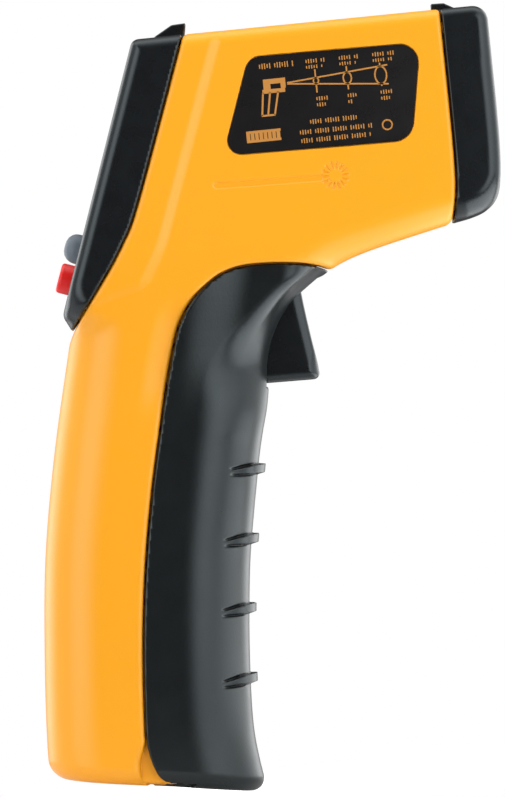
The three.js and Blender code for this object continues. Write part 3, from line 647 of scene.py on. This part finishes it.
BLACK_TONE = (0.0034, 0.0036, 0.0046)
COOL_GLOSS = (0.9, 1.05, 1.1)
FINISH = {
    "orange_shell": finish_of("orange_plastic", (0.97, 0.397, 0.0095), 0.34, drift=0.012)[0],
    "black_shell": finish_of("black_plastic", BLACK_TONE, 0.27, drift=0.15, gloss=COOL_GLOSS)[0],
    "label": finish_of("label_film", (0.005, 0.0042, 0.0046), 0.28, 3200.0, 0.00001)[0],
    "grey_button": finish_of("button_grey", srgb(100, 110, 120), 0.5)[0],
    "red_button": finish_of("button_red", srgb(244, 22, 18), 0.38)[0],
    "board": board_finish(),
    "component": finish_of("component_black", srgb(34, 36, 40), 0.5)[0],
    "steel": finish_of("steel_plain", (0.62, 0.63, 0.65), 0.28, 1500.0, 0.00002, metallic=1.0)[0],
    "brass": finish_of("brass_plain", srgb(205, 168, 82), 0.3, 1500.0, 0.00002, metallic=1.0)[0],
    "window": clear_finish(),
    "lens": lens_finish(),
    "display": finish_of("display_ground", srgb(150, 168, 146), 0.25, 600.0, 0.00001)[0],
    "white_plastic": finish_of("white_plastic", srgb(228, 228, 224), 0.45)[0],
    "cell": cell_finish(),
}
GRIP_FINISH = finish_of("grip_plastic", (0.0042, 0.0048, 0.0054), 0.29, 1900.0, 0.00004, 0.15,
                        gloss=COOL_GLOSS)[0]
INK_FINISH = finish_of("label_ink", srgb(192, 130, 54), 0.5, 3200.0, 0.00001)[0]
MARK_FINISH = finish_of("display_mark", srgb(24, 28, 26), 0.4, 3200.0, 0.00001)[0]
MASK_FINISH = finish_of("window_mask", srgb(16, 17, 19), 0.35, 3200.0, 0.00001)[0]

for row in frame["record"]["subparts"]:
    design = frame["nodes"][row["node"]]
    design.data.materials.clear()
    design.data.materials.append(FINISH[row["material_slot"]])

# ---------------------------------------------------------------- moulded shells

BODY_LOW, BODY_HIGH = (REAR, -POD_HALF, 0.0), (FRONT, POD_HALF, TOP)
BEAM_LINE = ((-5.9, 119.5), (14.4, 118.95))
BEAM_STAR = (17.5, 119.1)


def outer_wall(x, y, z):
    skin = body(x, y, z)
    return skin, np.maximum(skin, -(skin + WALL))


def engraving(x, z):
    """How deep the beam sign on the flank is cut, from 0 to 1."""
    line = 1 - step_up(segment(*BEAM_LINE, x, z), 0.45, 0.85)
    dx, dz = x - BEAM_STAR[0], z - BEAM_STAR[1]
    radius, angle = np.hypot(dx, dz), np.arctan2(dz, dx)
    rays = step_up(np.cos(14 * angle), -0.2, 0.7)
    rays = rays * step_up(radius, 1.15, 1.5) * (1 - step_up(radius, 2.5, 2.9))
    dot = 1 - step_up(radius, 0.55, 0.9)
    return np.maximum(np.maximum(line, rays), -0.6 * dot)


def shoulder(x, y, z):
    """How far the grip's skin falls back towards the trigger, near its top."""
    return 2.2 * step_up(x - 0.25 * (z - 95), -15, -2) * step_up(z, 70, 92) * step_up(np.abs(y), 5, 14)


def casing(side):
    pivot_x, pivot_z = DOOR_PIVOT

    def solid(x, y, z):
        reach = side * y
        skin, wall = outer_wall(x, y, z)
        beside_grip = step_up(GRIP(x, z), 5.5, 0.3) * step_up(z, 72, 84) * step_up(z, 101, 94)
        skin = skin + 0.9 * beside_grip + 0.22 * engraving(x, z) * step_up(reach, 18, 19)
        from_pivot = np.hypot(x - pivot_x, z - pivot_z)
        seams = both(-NOSE(x, z), -BEZEL(x, z), -GRIP(x, z)) + SEAM
        outer = round_both(skin, seams, 0.9)
        outer = round_both(outer, 0.1 - reach, 0.3)
        pocket = both(LABEL(x, z) - 0.15, FLANK_HALF - 0.5 - reach)
        knuckle_room = both(from_pivot - 5.9, reach - CHEEK)
        notch = both(CHEEK - reach, from_pivot - 6.2)
        main = both(round_both(outer, -notch, 1.2), wall, -knuckle_room, -pocket)
        under = both(from_pivot - 5.5, x - pivot_x + 1.5, z - pivot_z)
        ear_plan = either(from_pivot - 3.6, both(x + 29.2, z - 13.2), under)
        ear = both(skin + 0.25, reach - CHEEK, 12.0 - reach, ear_plan)
        beyond = np.minimum(np.minimum(NOSE(x, z), BEZEL(x, z)), GRIP(x, z))
        depth = body(x, y, z) + WALL
        dip = shoulder(x, y, z)
        behind = 0.3 + dip - (0.7 + dip) * step_up(beyond, 0.1, 0.7)
        tongue = both(depth + behind, -depth - dip - 1.3, -beyond - 1.5, beyond - 3.5, 0.2 - reach, 13 - z)
        made = either(main, ear, tongue)
        for place_x, place_z in SCREW_PLACES:
            off = np.hypot(x - place_x, z - place_z)
            if side > 0:
                boss = both(off - 3.6, 7.8 - reach, skin)
                bore = either(both(off - 2.65, 9.3 - reach), off - 1.35)
            else:
                boss, bore = both(off - 3.0, 0.6 - reach, skin + 0.5), both(off - 1.2, reach - 12)
            made = np.maximum(np.minimum(made, boss), -bore)
        return np.maximum(made, 1.45 - from_pivot)

    low, high = list(BODY_LOW), list(BODY_HIGH)
    low[1], high[1] = (0.0, POD_HALF) if side > 0 else (-POD_HALF, 0.0)
    high[0], low[2] = 42.0, 2.0

    def fine(x, y, z):
        at_sign = -7.5 < x < 21 and 115.8 < z < 122.4
        return side * y > 19 and (at_sign or abs(LABEL(x, z)) < 0.7)

    name = "left" if side > 0 else "right"
    made = moulded(f"casing_{name}_shell", solid, low, high, 0.5, FINISH["orange_shell"], fine)
    fitted(made, "housing", "orange_shell", f"casing_{name}")


FRONT_SIGHT = [(39.8, TOP - 2), (45.2, TOP - 2), (45.2, TOP - 0.3), (42.4, TOP + 1.3), (39.8, TOP + 1.4)]
REAR_SIGHT = [(-16, TOP - 2.5), (-9.7, TOP - 2.5), (-8.8, TOP + 2.5), (-11.6, TOP + 2.4), (-15.2, TOP + 0.4)]


def nose_cap():
    def solid(x, y, z):
        skin = body(x, y, z)
        outer = round_both(skin, NOSE(x, z) + SEAM, EDGE)
        sight = round_both(convex(FRONT_SIGHT, x, z), np.abs(y) - 1.6, 0.25)
        cap = both(soft_either(outer, sight, 0.5), -both(skin + WALL, x - (FRONT - 2.6)))
        away = np.hypot(y, z - OPTIC_Z)
        mouth = away - np.maximum(9.1, 9.1 + (x - FRONT + 1.3) * 0.9)
        beam = np.hypot(y, z - LASER_Z) - np.maximum(2.2, 2.2 + (x - FRONT + 0.6))
        return both(round_both(cap, -mouth, 0.25), -beam)

    made = moulded("nose_cap_shell", solid, (39, -POD_HALF, 106), (FRONT, POD_HALF, TOP + 2), 0.42,
                   FINISH["black_shell"])
    fitted(made, "housing", "black_shell", "nose_cap")


WINDOW = {"half": 14.6, "low": -5.5, "high": 20.5}
BUTTONS = {
    "button_left": {"side": 7.4, "up": -15.0, "radius": 2.9},
    "button_right": {"side": -7.4, "up": -15.0, "radius": 2.9},
    "button_mode": {"side": 0.0, "up": -21.3, "radius": 3.0},
}


def display_bezel():
    middle, tall = (WINDOW["low"] + WINDOW["high"]) / 2, (WINDOW["high"] - WINDOW["low"]) / 2

    def solid(x, y, z):
        skin, wall = outer_wall(x, y, z)
        outer = round_both(skin, BEZEL(x, z) + SEAM, EDGE)
        sight = round_both(convex(REAR_SIGHT, x, z), np.abs(np.abs(y) - 3.35) - 1.65, 0.25)
        depth, side, up = to_display(x, y, z)
        opening = round_both(np.abs(side) - WINDOW["half"] - 0.15, np.abs(up - middle) - tall - 0.15, 1.6)
        made = round_both(soft_either(both(outer, wall), sight, 0.5), -both(opening, depth - 6), 0.3)
        for place in BUTTONS.values():
            hole = np.hypot(side - place["side"], up - place["up"]) - place["radius"] - 0.3
            made = round_both(made, -both(hole, depth - 6), 0.3)
        return made

    made = moulded("display_bezel_shell", solid, (-39, -POD_HALF, 92), (-8, POD_HALF, TOP + 3), 0.42,
                   FINISH["black_shell"])
    fitted(made, "housing", "black_shell", "display_bezel")


FINGER_BARS = [(-3.3, 63.2, 0.02), (-5.9, 49.6, 0.06), (-7.7, 36.0, 0.08), (-9.0, 22.2, 0.12)]
BAR_REACH = 5.4


def finger_bars(x, z):
    """How far the skin stands out for the bars and their side grooves."""
    total = 0.0
    for front, height, rise in FINGER_BARS:
        back = front - x
        across = np.abs(z - height + back * rise)
        half = along(back, [(0, 0.95), (BAR_REACH, 0.45)])
        top = 1.4 * step_up(back, BAR_REACH, 0.8) * step_up(across, half + 0.2, half - 0.2)
        groove = np.exp(-((across - half - 0.15) / 0.22) ** 2) * step_up(back, 0.8, 2.4)
        total = total + top - 0.4 * groove * step_up(back, BAR_REACH + 0.6, BAR_REACH - 0.6)
    return total


def grip_door():
    pivot_x, pivot_z = DOOR_PIVOT

    def solid(x, y, z):
        whole = body(x, y, z)
        dipped = whole + shoulder(x, y, z)
        skin = dipped - finger_bars(x, z)
        outer = round_both(np.maximum(skin, -(dipped + WALL)), GRIP(x, z) + SEAM, EDGE)
        slot = both(np.abs(y) - TRIGGER_HALF - 0.5, 79.2 - z, z - 99.5, -6 - x)
        from_pivot = np.hypot(x - pivot_x, z - pivot_z)
        hinge = both(from_pivot - 5.2, np.abs(y) - 11.7, z - pivot_z, whole)
        boss = both(from_pivot - 3.2, CHEEK + 0.2 - np.abs(y), whole)
        ear_plan = either(from_pivot - 5.75, x - pivot_x + 2)
        ear_room = both(11.8 - np.abs(y), np.abs(y) - CHEEK - 0.15, ear_plan, z - 13.5)
        pin_room = both(from_pivot - 1.4, np.abs(y) - 15.0)
        made = either(round_both(outer, -slot, 0.6), hinge, boss)
        return both(made, -ear_room, -pin_room)

    def fine(x, y, z):
        return any(front - BAR_REACH - 1 < x and abs(z - height) < 2.6 for front, height, _ in FINGER_BARS)

    made = moulded("grip_door_shell", solid, (-32, -POD_HALF, -0.5), (17, POD_HALF, 104), 0.45,
                   GRIP_FINISH, fine)
    fitted(made, "door", "black_shell", "grip_door")


def trigger():
    def solid(x, y, z):
        front = along(z, [(79, 10.6), (82, 10.4), (88, 9.6), (93, 8.9), (97.5, 8.4)])
        slope = (x - front + 1.7) * 0.17
        bevel = slope + np.hypot(slope, 0.05)
        edge = along(z, [(79, 2.3), (82.5, 2.0), (85, 0.7)])
        lever = round_both(LEVER(x, z), np.abs(y) - TRIGGER_HALF + bevel, edge)
        hub_bore = np.hypot(x - TRIGGER_PIVOT[0], z - TRIGGER_PIVOT[1]) - 1.35
        spring_room = both(np.abs(y) - 3, 96.4 - z)
        return both(lever, -hub_bore, -spring_room)

    made = moulded("trigger_lever", solid, (-5, -TRIGGER_HALF, 79), (11, TRIGGER_HALF, 104), 0.3,
                   FINISH["black_shell"])
    fitted(made, "trigger", "black_shell", "trigger")


# ---------------------------------------------------------------- labels


def box_outline(low_u, high_u, low_v, high_v):
    return [(low_u, low_v), (high_u, low_v), (high_u, high_v), (low_u, high_v)]


def stroke(start, end, thickness):
    """The outline of a straight printed line."""
    (ax, az), (bx, bz) = start, end
    size = math.hypot(bx - ax, bz - az)
    ox, oz = -(bz - az) / size * thickness / 2, (bx - ax) / size * thickness / 2
    return [(ax - ox, az - oz), (bx - ox, bz - oz), (bx + ox, bz + oz), (ax + ox, az + oz)]


def ring(centre, radius_u, radius_v, thickness, steps=20):
    marks = []
    spots = [(centre[0] + radius_u * math.cos(a), centre[1] + radius_v * math.sin(a))
             for a in np.linspace(0, 2 * math.pi, steps, endpoint=False)]
    for here, there in zip(spots, spots[1:] + spots[:1]):
        marks.append(stroke(here, there, thickness))
    return marks


def tally(low_u, high_u, centre_v, tall):
    """A row of short upright bars, in place of words."""
    marks = []
    pitch = 0.5
    count = int((high_u - low_u) / pitch)
    for i in range(count):
        if i % 7 == 5:
            continue
        u = low_u + pitch * (i + 0.5)
        reach = tall / 2 * (1 if i % 3 else 0.72)
        marks.append(box_outline(u - 0.11, u + 0.11, centre_v - reach, centre_v + reach))
    return marks


def label_marks():
    """A spreading beam from a hand-held emitter, with spot sizes and rows of tally bars."""
    marks = [stroke((9.9, 138.2), (29.9, 139.75), 0.3), stroke((9.9, 138.0), (29.8, 136.0), 0.3)]
    for u, centre_v, radius_u, radius_v in ((15.6, 138.05, 0.5, 0.58), (21.8, 137.97, 0.8, 1.12),
                                            (28.4, 137.87, 1.15, 1.72)):
        marks += ring((u, centre_v), radius_u, radius_v, 0.3)
        marks.append(stroke((u, centre_v + radius_v), (u, 140.3), 0.28))
        marks.append(stroke((u, 135.7), (u, centre_v - radius_v), 0.28))
    for low_u, high_u in ((13.8, 18.0), (20.4, 24.7), (27.0, 31.7)):
        marks += tally(low_u, high_u, 142.0, 0.85) + tally(low_u, high_u - 0.4, 140.85, 0.7)
    for low_u, high_u in ((15.2, 18.4), (21.4, 23.6), (27.9, 30.9)):
        marks += tally(low_u, high_u, 134.5, 0.8) + tally(low_u, high_u - 1, 133.3, 0.8)
    marks += tally(4.6, 12.0, 141.9, 1.1)
    for low_u, high_u, v in ((13.5, 23.6, 130.1), (11.3, 25.8, 128.2), (11.4, 25.6, 126.5)):
        marks += tally(low_u, high_u, v, 0.95)
    marks += ring((28.7, 128.0), 0.95, 0.95, 0.3)
    marks += emitter_sign()
    marks += [box_outline(0.9, 7.7, 127.15, 127.65), box_outline(0.9, 7.7, 128.95, 129.45)]
    marks += [box_outline(0.9 + 0.85 * i, 1.6 + 0.85 * i, 127.65, 128.95) for i in range(8)]
    return marks


def emitter_sign():
    """A small hand-held emitter: a barrel with a window, on a leaning handle drawn in outline."""
    marks = [box_outline(5.2, 9.6, 138.3, 139.3), box_outline(5.2, 6.6, 137.3, 138.3),
             box_outline(8.6, 9.6, 137.3, 138.3), box_outline(4.9, 9.4, 136.5, 137.3)]
    for start, end in (((5.0, 136.7), (4.4, 132.2)), ((8.0, 136.7), (6.9, 132.2)),
                       ((6.4, 136.7), (5.6, 132.4)), ((4.3, 132.2), (7.0, 132.2))):
        marks.append(stroke(start, end, 0.36))
    return marks


def label(side):
    name = "left" if side > 0 else "right"
    place = basis((0, side * (FLANK_HALF - 0.5), 0), (1, 0, 0), (0, 0, 1), (0, side, 0))
    film = plates(f"label_{name}_film", [rounded_polygon(LABEL_CORNERS)], 0.02, 0.4,
                  FINISH["label"], place, 0.06)
    fitted(film, "housing", "label", f"label_{name}")
    ink = plates(f"label_{name}_ink", label_marks(), 0.38, 0.42, INK_FINISH, place)
    fitted(ink, "housing", "label")


# ---------------------------------------------------------------- display and buttons

DIGITS = {"2": "abged", "3": "abgcd", "6": "afgedc"}


def digit(figure, u, v, wide, tall, thick):
    """A seven-segment figure whose lower left corner is at (u, v)."""
    marks = []
    gap = 0.25
    for bar in DIGITS[figure]:
        if bar in "adg":
            height = {"a": tall - thick / 2, "g": tall / 2, "d": thick / 2}[bar] + v
            marks.append(box_outline(u + thick / 2 + gap, u + wide - thick / 2 - gap, height - thick / 2,
                                     height + thick / 2))
        else:
            across = u + (wide - thick / 2 if bar in "bc" else thick / 2)
            low = v + (tall / 2 if bar in "bf" else 0) + gap
            marks.append(box_outline(across - thick / 2, across + thick / 2, low, low + tall / 2 - 2 * gap))
    return marks


def display():
    middle = (WINDOW["low"] + WINDOW["high"]) / 2
    tall = (WINDOW["high"] - WINDOW["low"]) / 2
    half = WINDOW["half"]

    def panel(grow, radius):
        corners = [(-1, -1), (1, -1), (1, 1), (-1, 1)]
        return rounded_polygon([(a * (half + grow), middle + b * (tall + grow), radius) for a, b in corners])

    window = plates("display_window_pane", [panel(0, 1.5)], 0.35, 2.6, FINISH["window"], DISPLAY_PLACE, 0.3)
    fitted(window, "housing", "window", "display_window")
    glass = plates("display_ground", [panel(-0.2, 0.6)], 3.7, 5.9, FINISH["display"], DISPLAY_PLACE, 0.15)
    fitted(glass, "housing", "display", "display_glass")
    frame_bars = [box_outline(-half, half, middle + tall - 2.2, middle + tall),
                  box_outline(-half, half, middle - tall, middle - tall + 2.2),
                  box_outline(-half, 2.2 - half, middle - tall + 2.2, middle + tall - 2.2),
                  box_outline(half - 2.2, half, middle - tall + 2.2, middle + tall - 2.2)]
    mask = plates("display_mask", frame_bars, 2.75, 3.2, MASK_FINISH, DISPLAY_PLACE)
    fitted(mask, "housing", "component")
    # The figures are laid out from left to right, then mirrored, because the reader looks from behind.
    marks = []
    for index, figure in enumerate("236"):
        marks += digit(figure, -10.6 + 7.0 * index, middle - 4.2, 5.2, 9.4, 1.15)
    marks.append(box_outline(2.15, 3.05, middle - 4.2, middle - 3.3))
    marks += ring((10.6, middle + 4.3), 0.75, 0.75, 0.35, 14)
    marks += [box_outline(-10.6, -8.2, middle + 7.6, middle + 8.8),
              box_outline(-7.4, -4.4, middle + 7.6, middle + 8.0),
              box_outline(4.0, 8.0, middle + 7.6, middle + 8.2)]
    marks += [box_outline(-10.6 + 1.1 * i, -9.9 + 1.1 * i, middle - 8.6, middle - 7.4) for i in range(12)]
    marks = [[(-u, v) for u, v in mark] for mark in marks]
    figures = plates("display_figures", marks, 3.6, 3.72, MARK_FINISH, DISPLAY_PLACE)
    fitted(figures, "housing", "component")


def buttons():
    domed = [(0, 0.05), (1.0, 0.12), (1.8, 0.42), (2.4, 0.95), (2.78, 1.6), (2.9, 2.3)]
    flat = [(0, 0.35), (2.3, 0.38), (2.62, 0.48), (2.84, 0.72), (2.9, 1.1)]
    for name, place in BUTTONS.items():
        is_mode = name == "button_mode"
        pressed = name.replace("button_", "") + "_button"
        slot_name = "red_button" if is_mode else "grey_button"
        face = flat if is_mode else domed
        radius = place["radius"]
        cap = [(r * radius / 2.9, w - 2.75) for r, w in face]
        profile = cap + [(radius, 2.8), (radius + 0.9, 2.8), (radius + 0.9, 3.7),
                         (1.4, 3.7), (1.4, 5.2), (0, 5.2)]
        at = DISPLAY_PLACE @ Matrix.Translation(Vector((place["side"], place["up"], 0)) * MM)
        fitted(turned(f"{name}_cap", profile, FINISH[slot_name], at), pressed, slot_name, name)


# ---------------------------------------------------------------- optics, screws, batteries and springs


def optics():
    at = basis((FRONT - 4.2, 0, OPTIC_Z), (0, 1, 0), (0, 0, 1), (1, 0, 0))
    dome = [(LENS_RADIUS * math.cos(a), 0.9 + 1.4 * math.sin(a)) for a in np.linspace(0, math.pi / 2, 12)]
    fitted(turned("lens_dome", [(0, 0), (LENS_RADIUS, 0)] + dome[:-1] + [(0, 2.3)], FINISH["lens"], at),
           "housing", "lens", "infrared_lens")


def screws():
    def head(x, y, z):
        round_part = round_both(np.hypot(x, z) - 2.3, np.abs(y - 10.6) - 1.0, 0.45)
        cross = either(both(np.abs(x) - 0.32, np.abs(z) - 1.35), both(np.abs(z) - 0.32, np.abs(x) - 1.35))
        return either(both(round_part, -both(cross, 10.6 - y)), both(np.hypot(x, z) - 1.1, y - 9.8, -9 - y))

    first = moulded("screw", head, (-2.3, -9, -2.3), (2.3, 11.6, 2.3), 0.16, FINISH["steel"])
    for index, (x, z) in enumerate(SCREW_PLACES):
        name = f"casing_screw_{index + 1}"
        made = first if index == 0 else bpy.data.objects.new(f"{name}_turned", first.data)
        if index:
            bpy.context.collection.objects.link(made)
        made.name = f"{name}_turned"
        made.location = Vector((x, 0, z)) * MM
        fitted(made, "housing", "steel", name)


def batteries():
    radius, half = 5.2, 21.65
    can = [(0, -half), (3.4, -half), (3.6, -half + 0.15), (4.7, -half + 0.15), (radius, -half + 0.6)]
    can += [(radius, half - 0.9), (radius - 0.15, half - 0.4), (radius - 0.7, half),
            (2.0, half), (1.9, half + 1.1), (1.6, half + 1.2), (0, half + 1.2)]
    for index, side in enumerate((-1, 1)):
        flip = Matrix.Rotation(0 if side > 0 else math.pi, 4, "X")
        at = TRAY_PLACE @ Matrix.Translation(Vector((-0.4, side * 5.75, side * 2.7)) * MM) @ flip
        fitted(turned(f"battery_{index + 1}_can", can, FINISH["cell"], at), "housing", "cell",
               f"battery_{index + 1}")
        at = TRAY_PLACE @ Matrix.Translation(Vector((-0.4, side * 5.75, side * (2.1 - 28.4))) * MM) @ flip
        fitted(coil(f"contact_coil_{index + 1}", 2.6, 0.6, 6.8, 4, FINISH["steel"], at), "housing", "steel",
               f"contact_spring_{index + 1}")


def hinge_pin():
    at = basis((DOOR_PIVOT[0], 0, DOOR_PIVOT[1]), (1, 0, 0), (0, 0, -1), (0, 1, 0))
    half = 14.8
    pin = [(0, -half), (1.0, -half), (1.2, 0.3 - half), (1.2, half - 0.3), (1.0, half), (0, half)]
    fitted(turned("door_hinge_pin_turned", pin, FINISH["steel"], at), "housing", "steel", "door_hinge_pin")


casing(-1)
casing(1)
nose_cap()
display_bezel()
grip_door()
trigger()
label(-1)
label(1)
display()
buttons()
optics()
screws()
batteries()
hinge_pin()

# ---------------------------------------------------------------- stage, light and camera

CAMERA_ROLL = math.radians(5.85)    # the view leans, so the barrel points a little upwards
AIM = Vector((-3.18, 0, 77.12)) * MM
VIEW_HEIGHT = 157.8 * MM
CAMERA_DISTANCE = 3.2
FLOOR_DROP = 0.2 * MM


def camera():
    data = bpy.data.cameras.new("camera")
    data.lens = data.sensor_width * CAMERA_DISTANCE / VIEW_HEIGHT
    data.clip_end = 20
    made = bpy.data.objects.new("camera", data)
    right = Vector((math.cos(CAMERA_ROLL), 0, -math.sin(CAMERA_ROLL)))
    up = Vector((math.sin(CAMERA_ROLL), 0, math.cos(CAMERA_ROLL)))
    back = Vector((0, -1, 0))
    turn = Matrix((right, up, back)).transposed()
    made.matrix_world = Matrix.Translation(AIM + back * CAMERA_DISTANCE) @ turn.to_4x4()
    bpy.context.collection.objects.link(made)
    bpy.context.scene.camera = made


def light_path(tree, output):
    return tree.nodes.new("ShaderNodeLightPath").outputs[output]


def floor():
    """A pale sheet, white to the camera, that lights the object less away from its middle."""
    white, tree, shader = material("floor_white", (0.86, 0.86, 0.86), 0.8)
    place = tree.nodes.new("ShaderNodeTexCoord")
    split = tree.nodes.new("ShaderNodeSeparateXYZ")
    tree.links.new(place.outputs["Object"], split.inputs[0])
    off_middle = arithmetic(tree, "ABSOLUTE", split.outputs["Y"], 0)
    sideways = arithmetic(tree, "MULTIPLY", off_middle, 5.0)
    across = ramp_of(tree, sideways, [(0.0, 1.0), (0.25, 1.0), (0.6, 0.1)])
    forward = arithmetic(tree, "MULTIPLY_ADD", split.outputs["X"], 5.0)
    forward.node.inputs[2].default_value = 0.5
    across = product(tree, across, ramp_of(tree, forward, [(0.4, 0.8), (0.7, 1.0)]))
    tinted(tree, shader, noise(tree, 3.0), (0.85, 0.85, 0.85), (0.87, 0.87, 0.87))
    speckled = shader.inputs["Base Color"].links[0].from_socket
    tree.links.new(product(tree, speckled, across), shader.inputs["Base Color"])
    shader.inputs["Specular IOR Level"].default_value = 0.0
    shader.inputs["Emission Color"].default_value = (1, 1, 1, 1)
    shown = between(tree, light_path(tree, "Is Camera Ray"), 0.1, 1.0)
    tree.links.new(shown, shader.inputs["Emission Strength"])
    made = new_object("floor", [(-600, -170, 0), (600, -170, 0), (600, 170, 0), (-600, 170, 0)],
                      [(0, 1, 2, 3)], white)
    made.location.z = -FLOOR_DROP


def area_light(name, place, target, size, radiance):
    data = bpy.data.lights.new(name, "AREA")
    data.shape = "RECTANGLE"
    data.size, data.size_y = size
    data.energy = radiance * math.pi * size[0] * size[1]
    made = bpy.data.objects.new(name, data)
    made.location = place
    made.rotation_euler = (Vector(target) - Vector(place)).to_track_quat("-Z", "Y").to_euler()
    bpy.context.collection.objects.link(made)


def ramp_of(tree, amount, stops):
    """A smooth grey ramp through (place, brightness)."""
    ramp = tree.nodes.new("ShaderNodeValToRGB")
    elements = ramp.color_ramp.elements
    while len(elements) < len(stops):
        elements.new(0.5)
    for element, (place, level) in zip(elements, stops):
        element.position = place
        element.color = (level, level, level, 1)
    tree.links.new(amount, ramp.inputs["Fac"])
    return ramp.outputs["Color"]


def arithmetic(tree, operation, a, b):
    node = tree.nodes.new("ShaderNodeMath")
    node.operation = operation
    for socket, value in zip(node.inputs, (a, b)):
        if isinstance(value, (int, float)):
            socket.default_value = value
        else:
            tree.links.new(value, socket)
    return node.outputs[0]


def mixed(tree, amount, a, b):
    mix = tree.nodes.new("ShaderNodeMix")
    mix.data_type = "RGBA"
    for socket, value in ((mix.inputs[0], amount), (mix.inputs[6], a), (mix.inputs[7], b)):
        tree.links.new(value, socket)
    return mix.outputs[2]


def product(tree, a, b):
    mix = tree.nodes.new("ShaderNodeMix")
    mix.data_type = "RGBA"
    mix.blend_type = "MULTIPLY"
    mix.inputs[0].default_value = 1.0
    tree.links.new(a, mix.inputs[6])
    tree.links.new(b, mix.inputs[7])
    return mix.outputs[2]


# Brightness of the studio against the cosine of the angle off the flank's own axis.
PEAK_LIGHT = 2.7
FRONT_SIDE = [(0.0, 0.5), (0.14, 0.5), (0.55, 0.8), (0.72, 0.98), (0.87, 0.96), (0.94, 0.4), (0.97, 0.04)]
BACK_SIDE = [(0.0, 0.4), (0.12, 0.2), (0.3, 0.2), (0.44, 0.88), (0.56, 1.0), (0.8, 1.0),
             (0.9, 0.3), (0.95, 0.03)]
ABOVE = [(0.0, 1.0), (0.17, 0.8), (0.45, 0.36), (0.7, 0.1), (0.9, 0.03)]


def world():
    """White all round for the camera. The object is lit by two broad soft sides with a dark middle."""
    made = bpy.data.worlds.new("studio")
    bpy.context.scene.world = made
    made.use_nodes = True
    tree = made.node_tree
    tree.nodes.clear()
    out = tree.nodes.new("ShaderNodeOutputWorld")
    seen = tree.nodes.new("ShaderNodeBackground")
    seen.inputs["Color"].default_value = (1, 1, 1, 1)
    lit = tree.nodes.new("ShaderNodeBackground")
    lit.inputs["Strength"].default_value = PEAK_LIGHT
    coords = tree.nodes.new("ShaderNodeTexCoord")
    split = tree.nodes.new("ShaderNodeSeparateXYZ")
    tree.links.new(coords.outputs["Generated"], split.inputs[0])
    x, y, z = split.outputs
    off_axis = arithmetic(tree, "ABSOLUTE", y, 0)
    forward = arithmetic(tree, "MULTIPLY_ADD", x, 4.0)
    forward.node.inputs[2].default_value = 0.5
    forward.node.use_clamp = True
    upward = arithmetic(tree, "ABSOLUTE", z, 0)
    lengthwise = arithmetic(tree, "ABSOLUTE", x, 0)
    steep = arithmetic(tree, "SUBTRACT", upward, lengthwise)
    upright = arithmetic(tree, "MULTIPLY_ADD", steep, 3.0)
    upright.node.inputs[2].default_value = 0.5
    upright.node.use_clamp = True
    sides = mixed(tree, forward, ramp_of(tree, off_axis, BACK_SIDE), ramp_of(tree, off_axis, FRONT_SIDE))
    tree.links.new(mixed(tree, upright, sides, ramp_of(tree, off_axis, ABOVE)), lit.inputs["Color"])
    mix = tree.nodes.new("ShaderNodeMixShader")
    tree.links.new(light_path(tree, "Is Camera Ray"), mix.inputs["Fac"])
    tree.links.new(lit.outputs[0], mix.inputs[1])
    tree.links.new(seen.outputs[0], mix.inputs[2])
    tree.links.new(mix.outputs[0], out.inputs["Surface"])


def studio():
    bpy.context.scene.view_settings.view_transform = "Standard"
    world()
    floor()
    area_light("under_barrel", (0.17, 0.0, 0.002), (0.17, 0.0, 1.0), (0.22, 0.2), 2.0)
    camera()


studio()
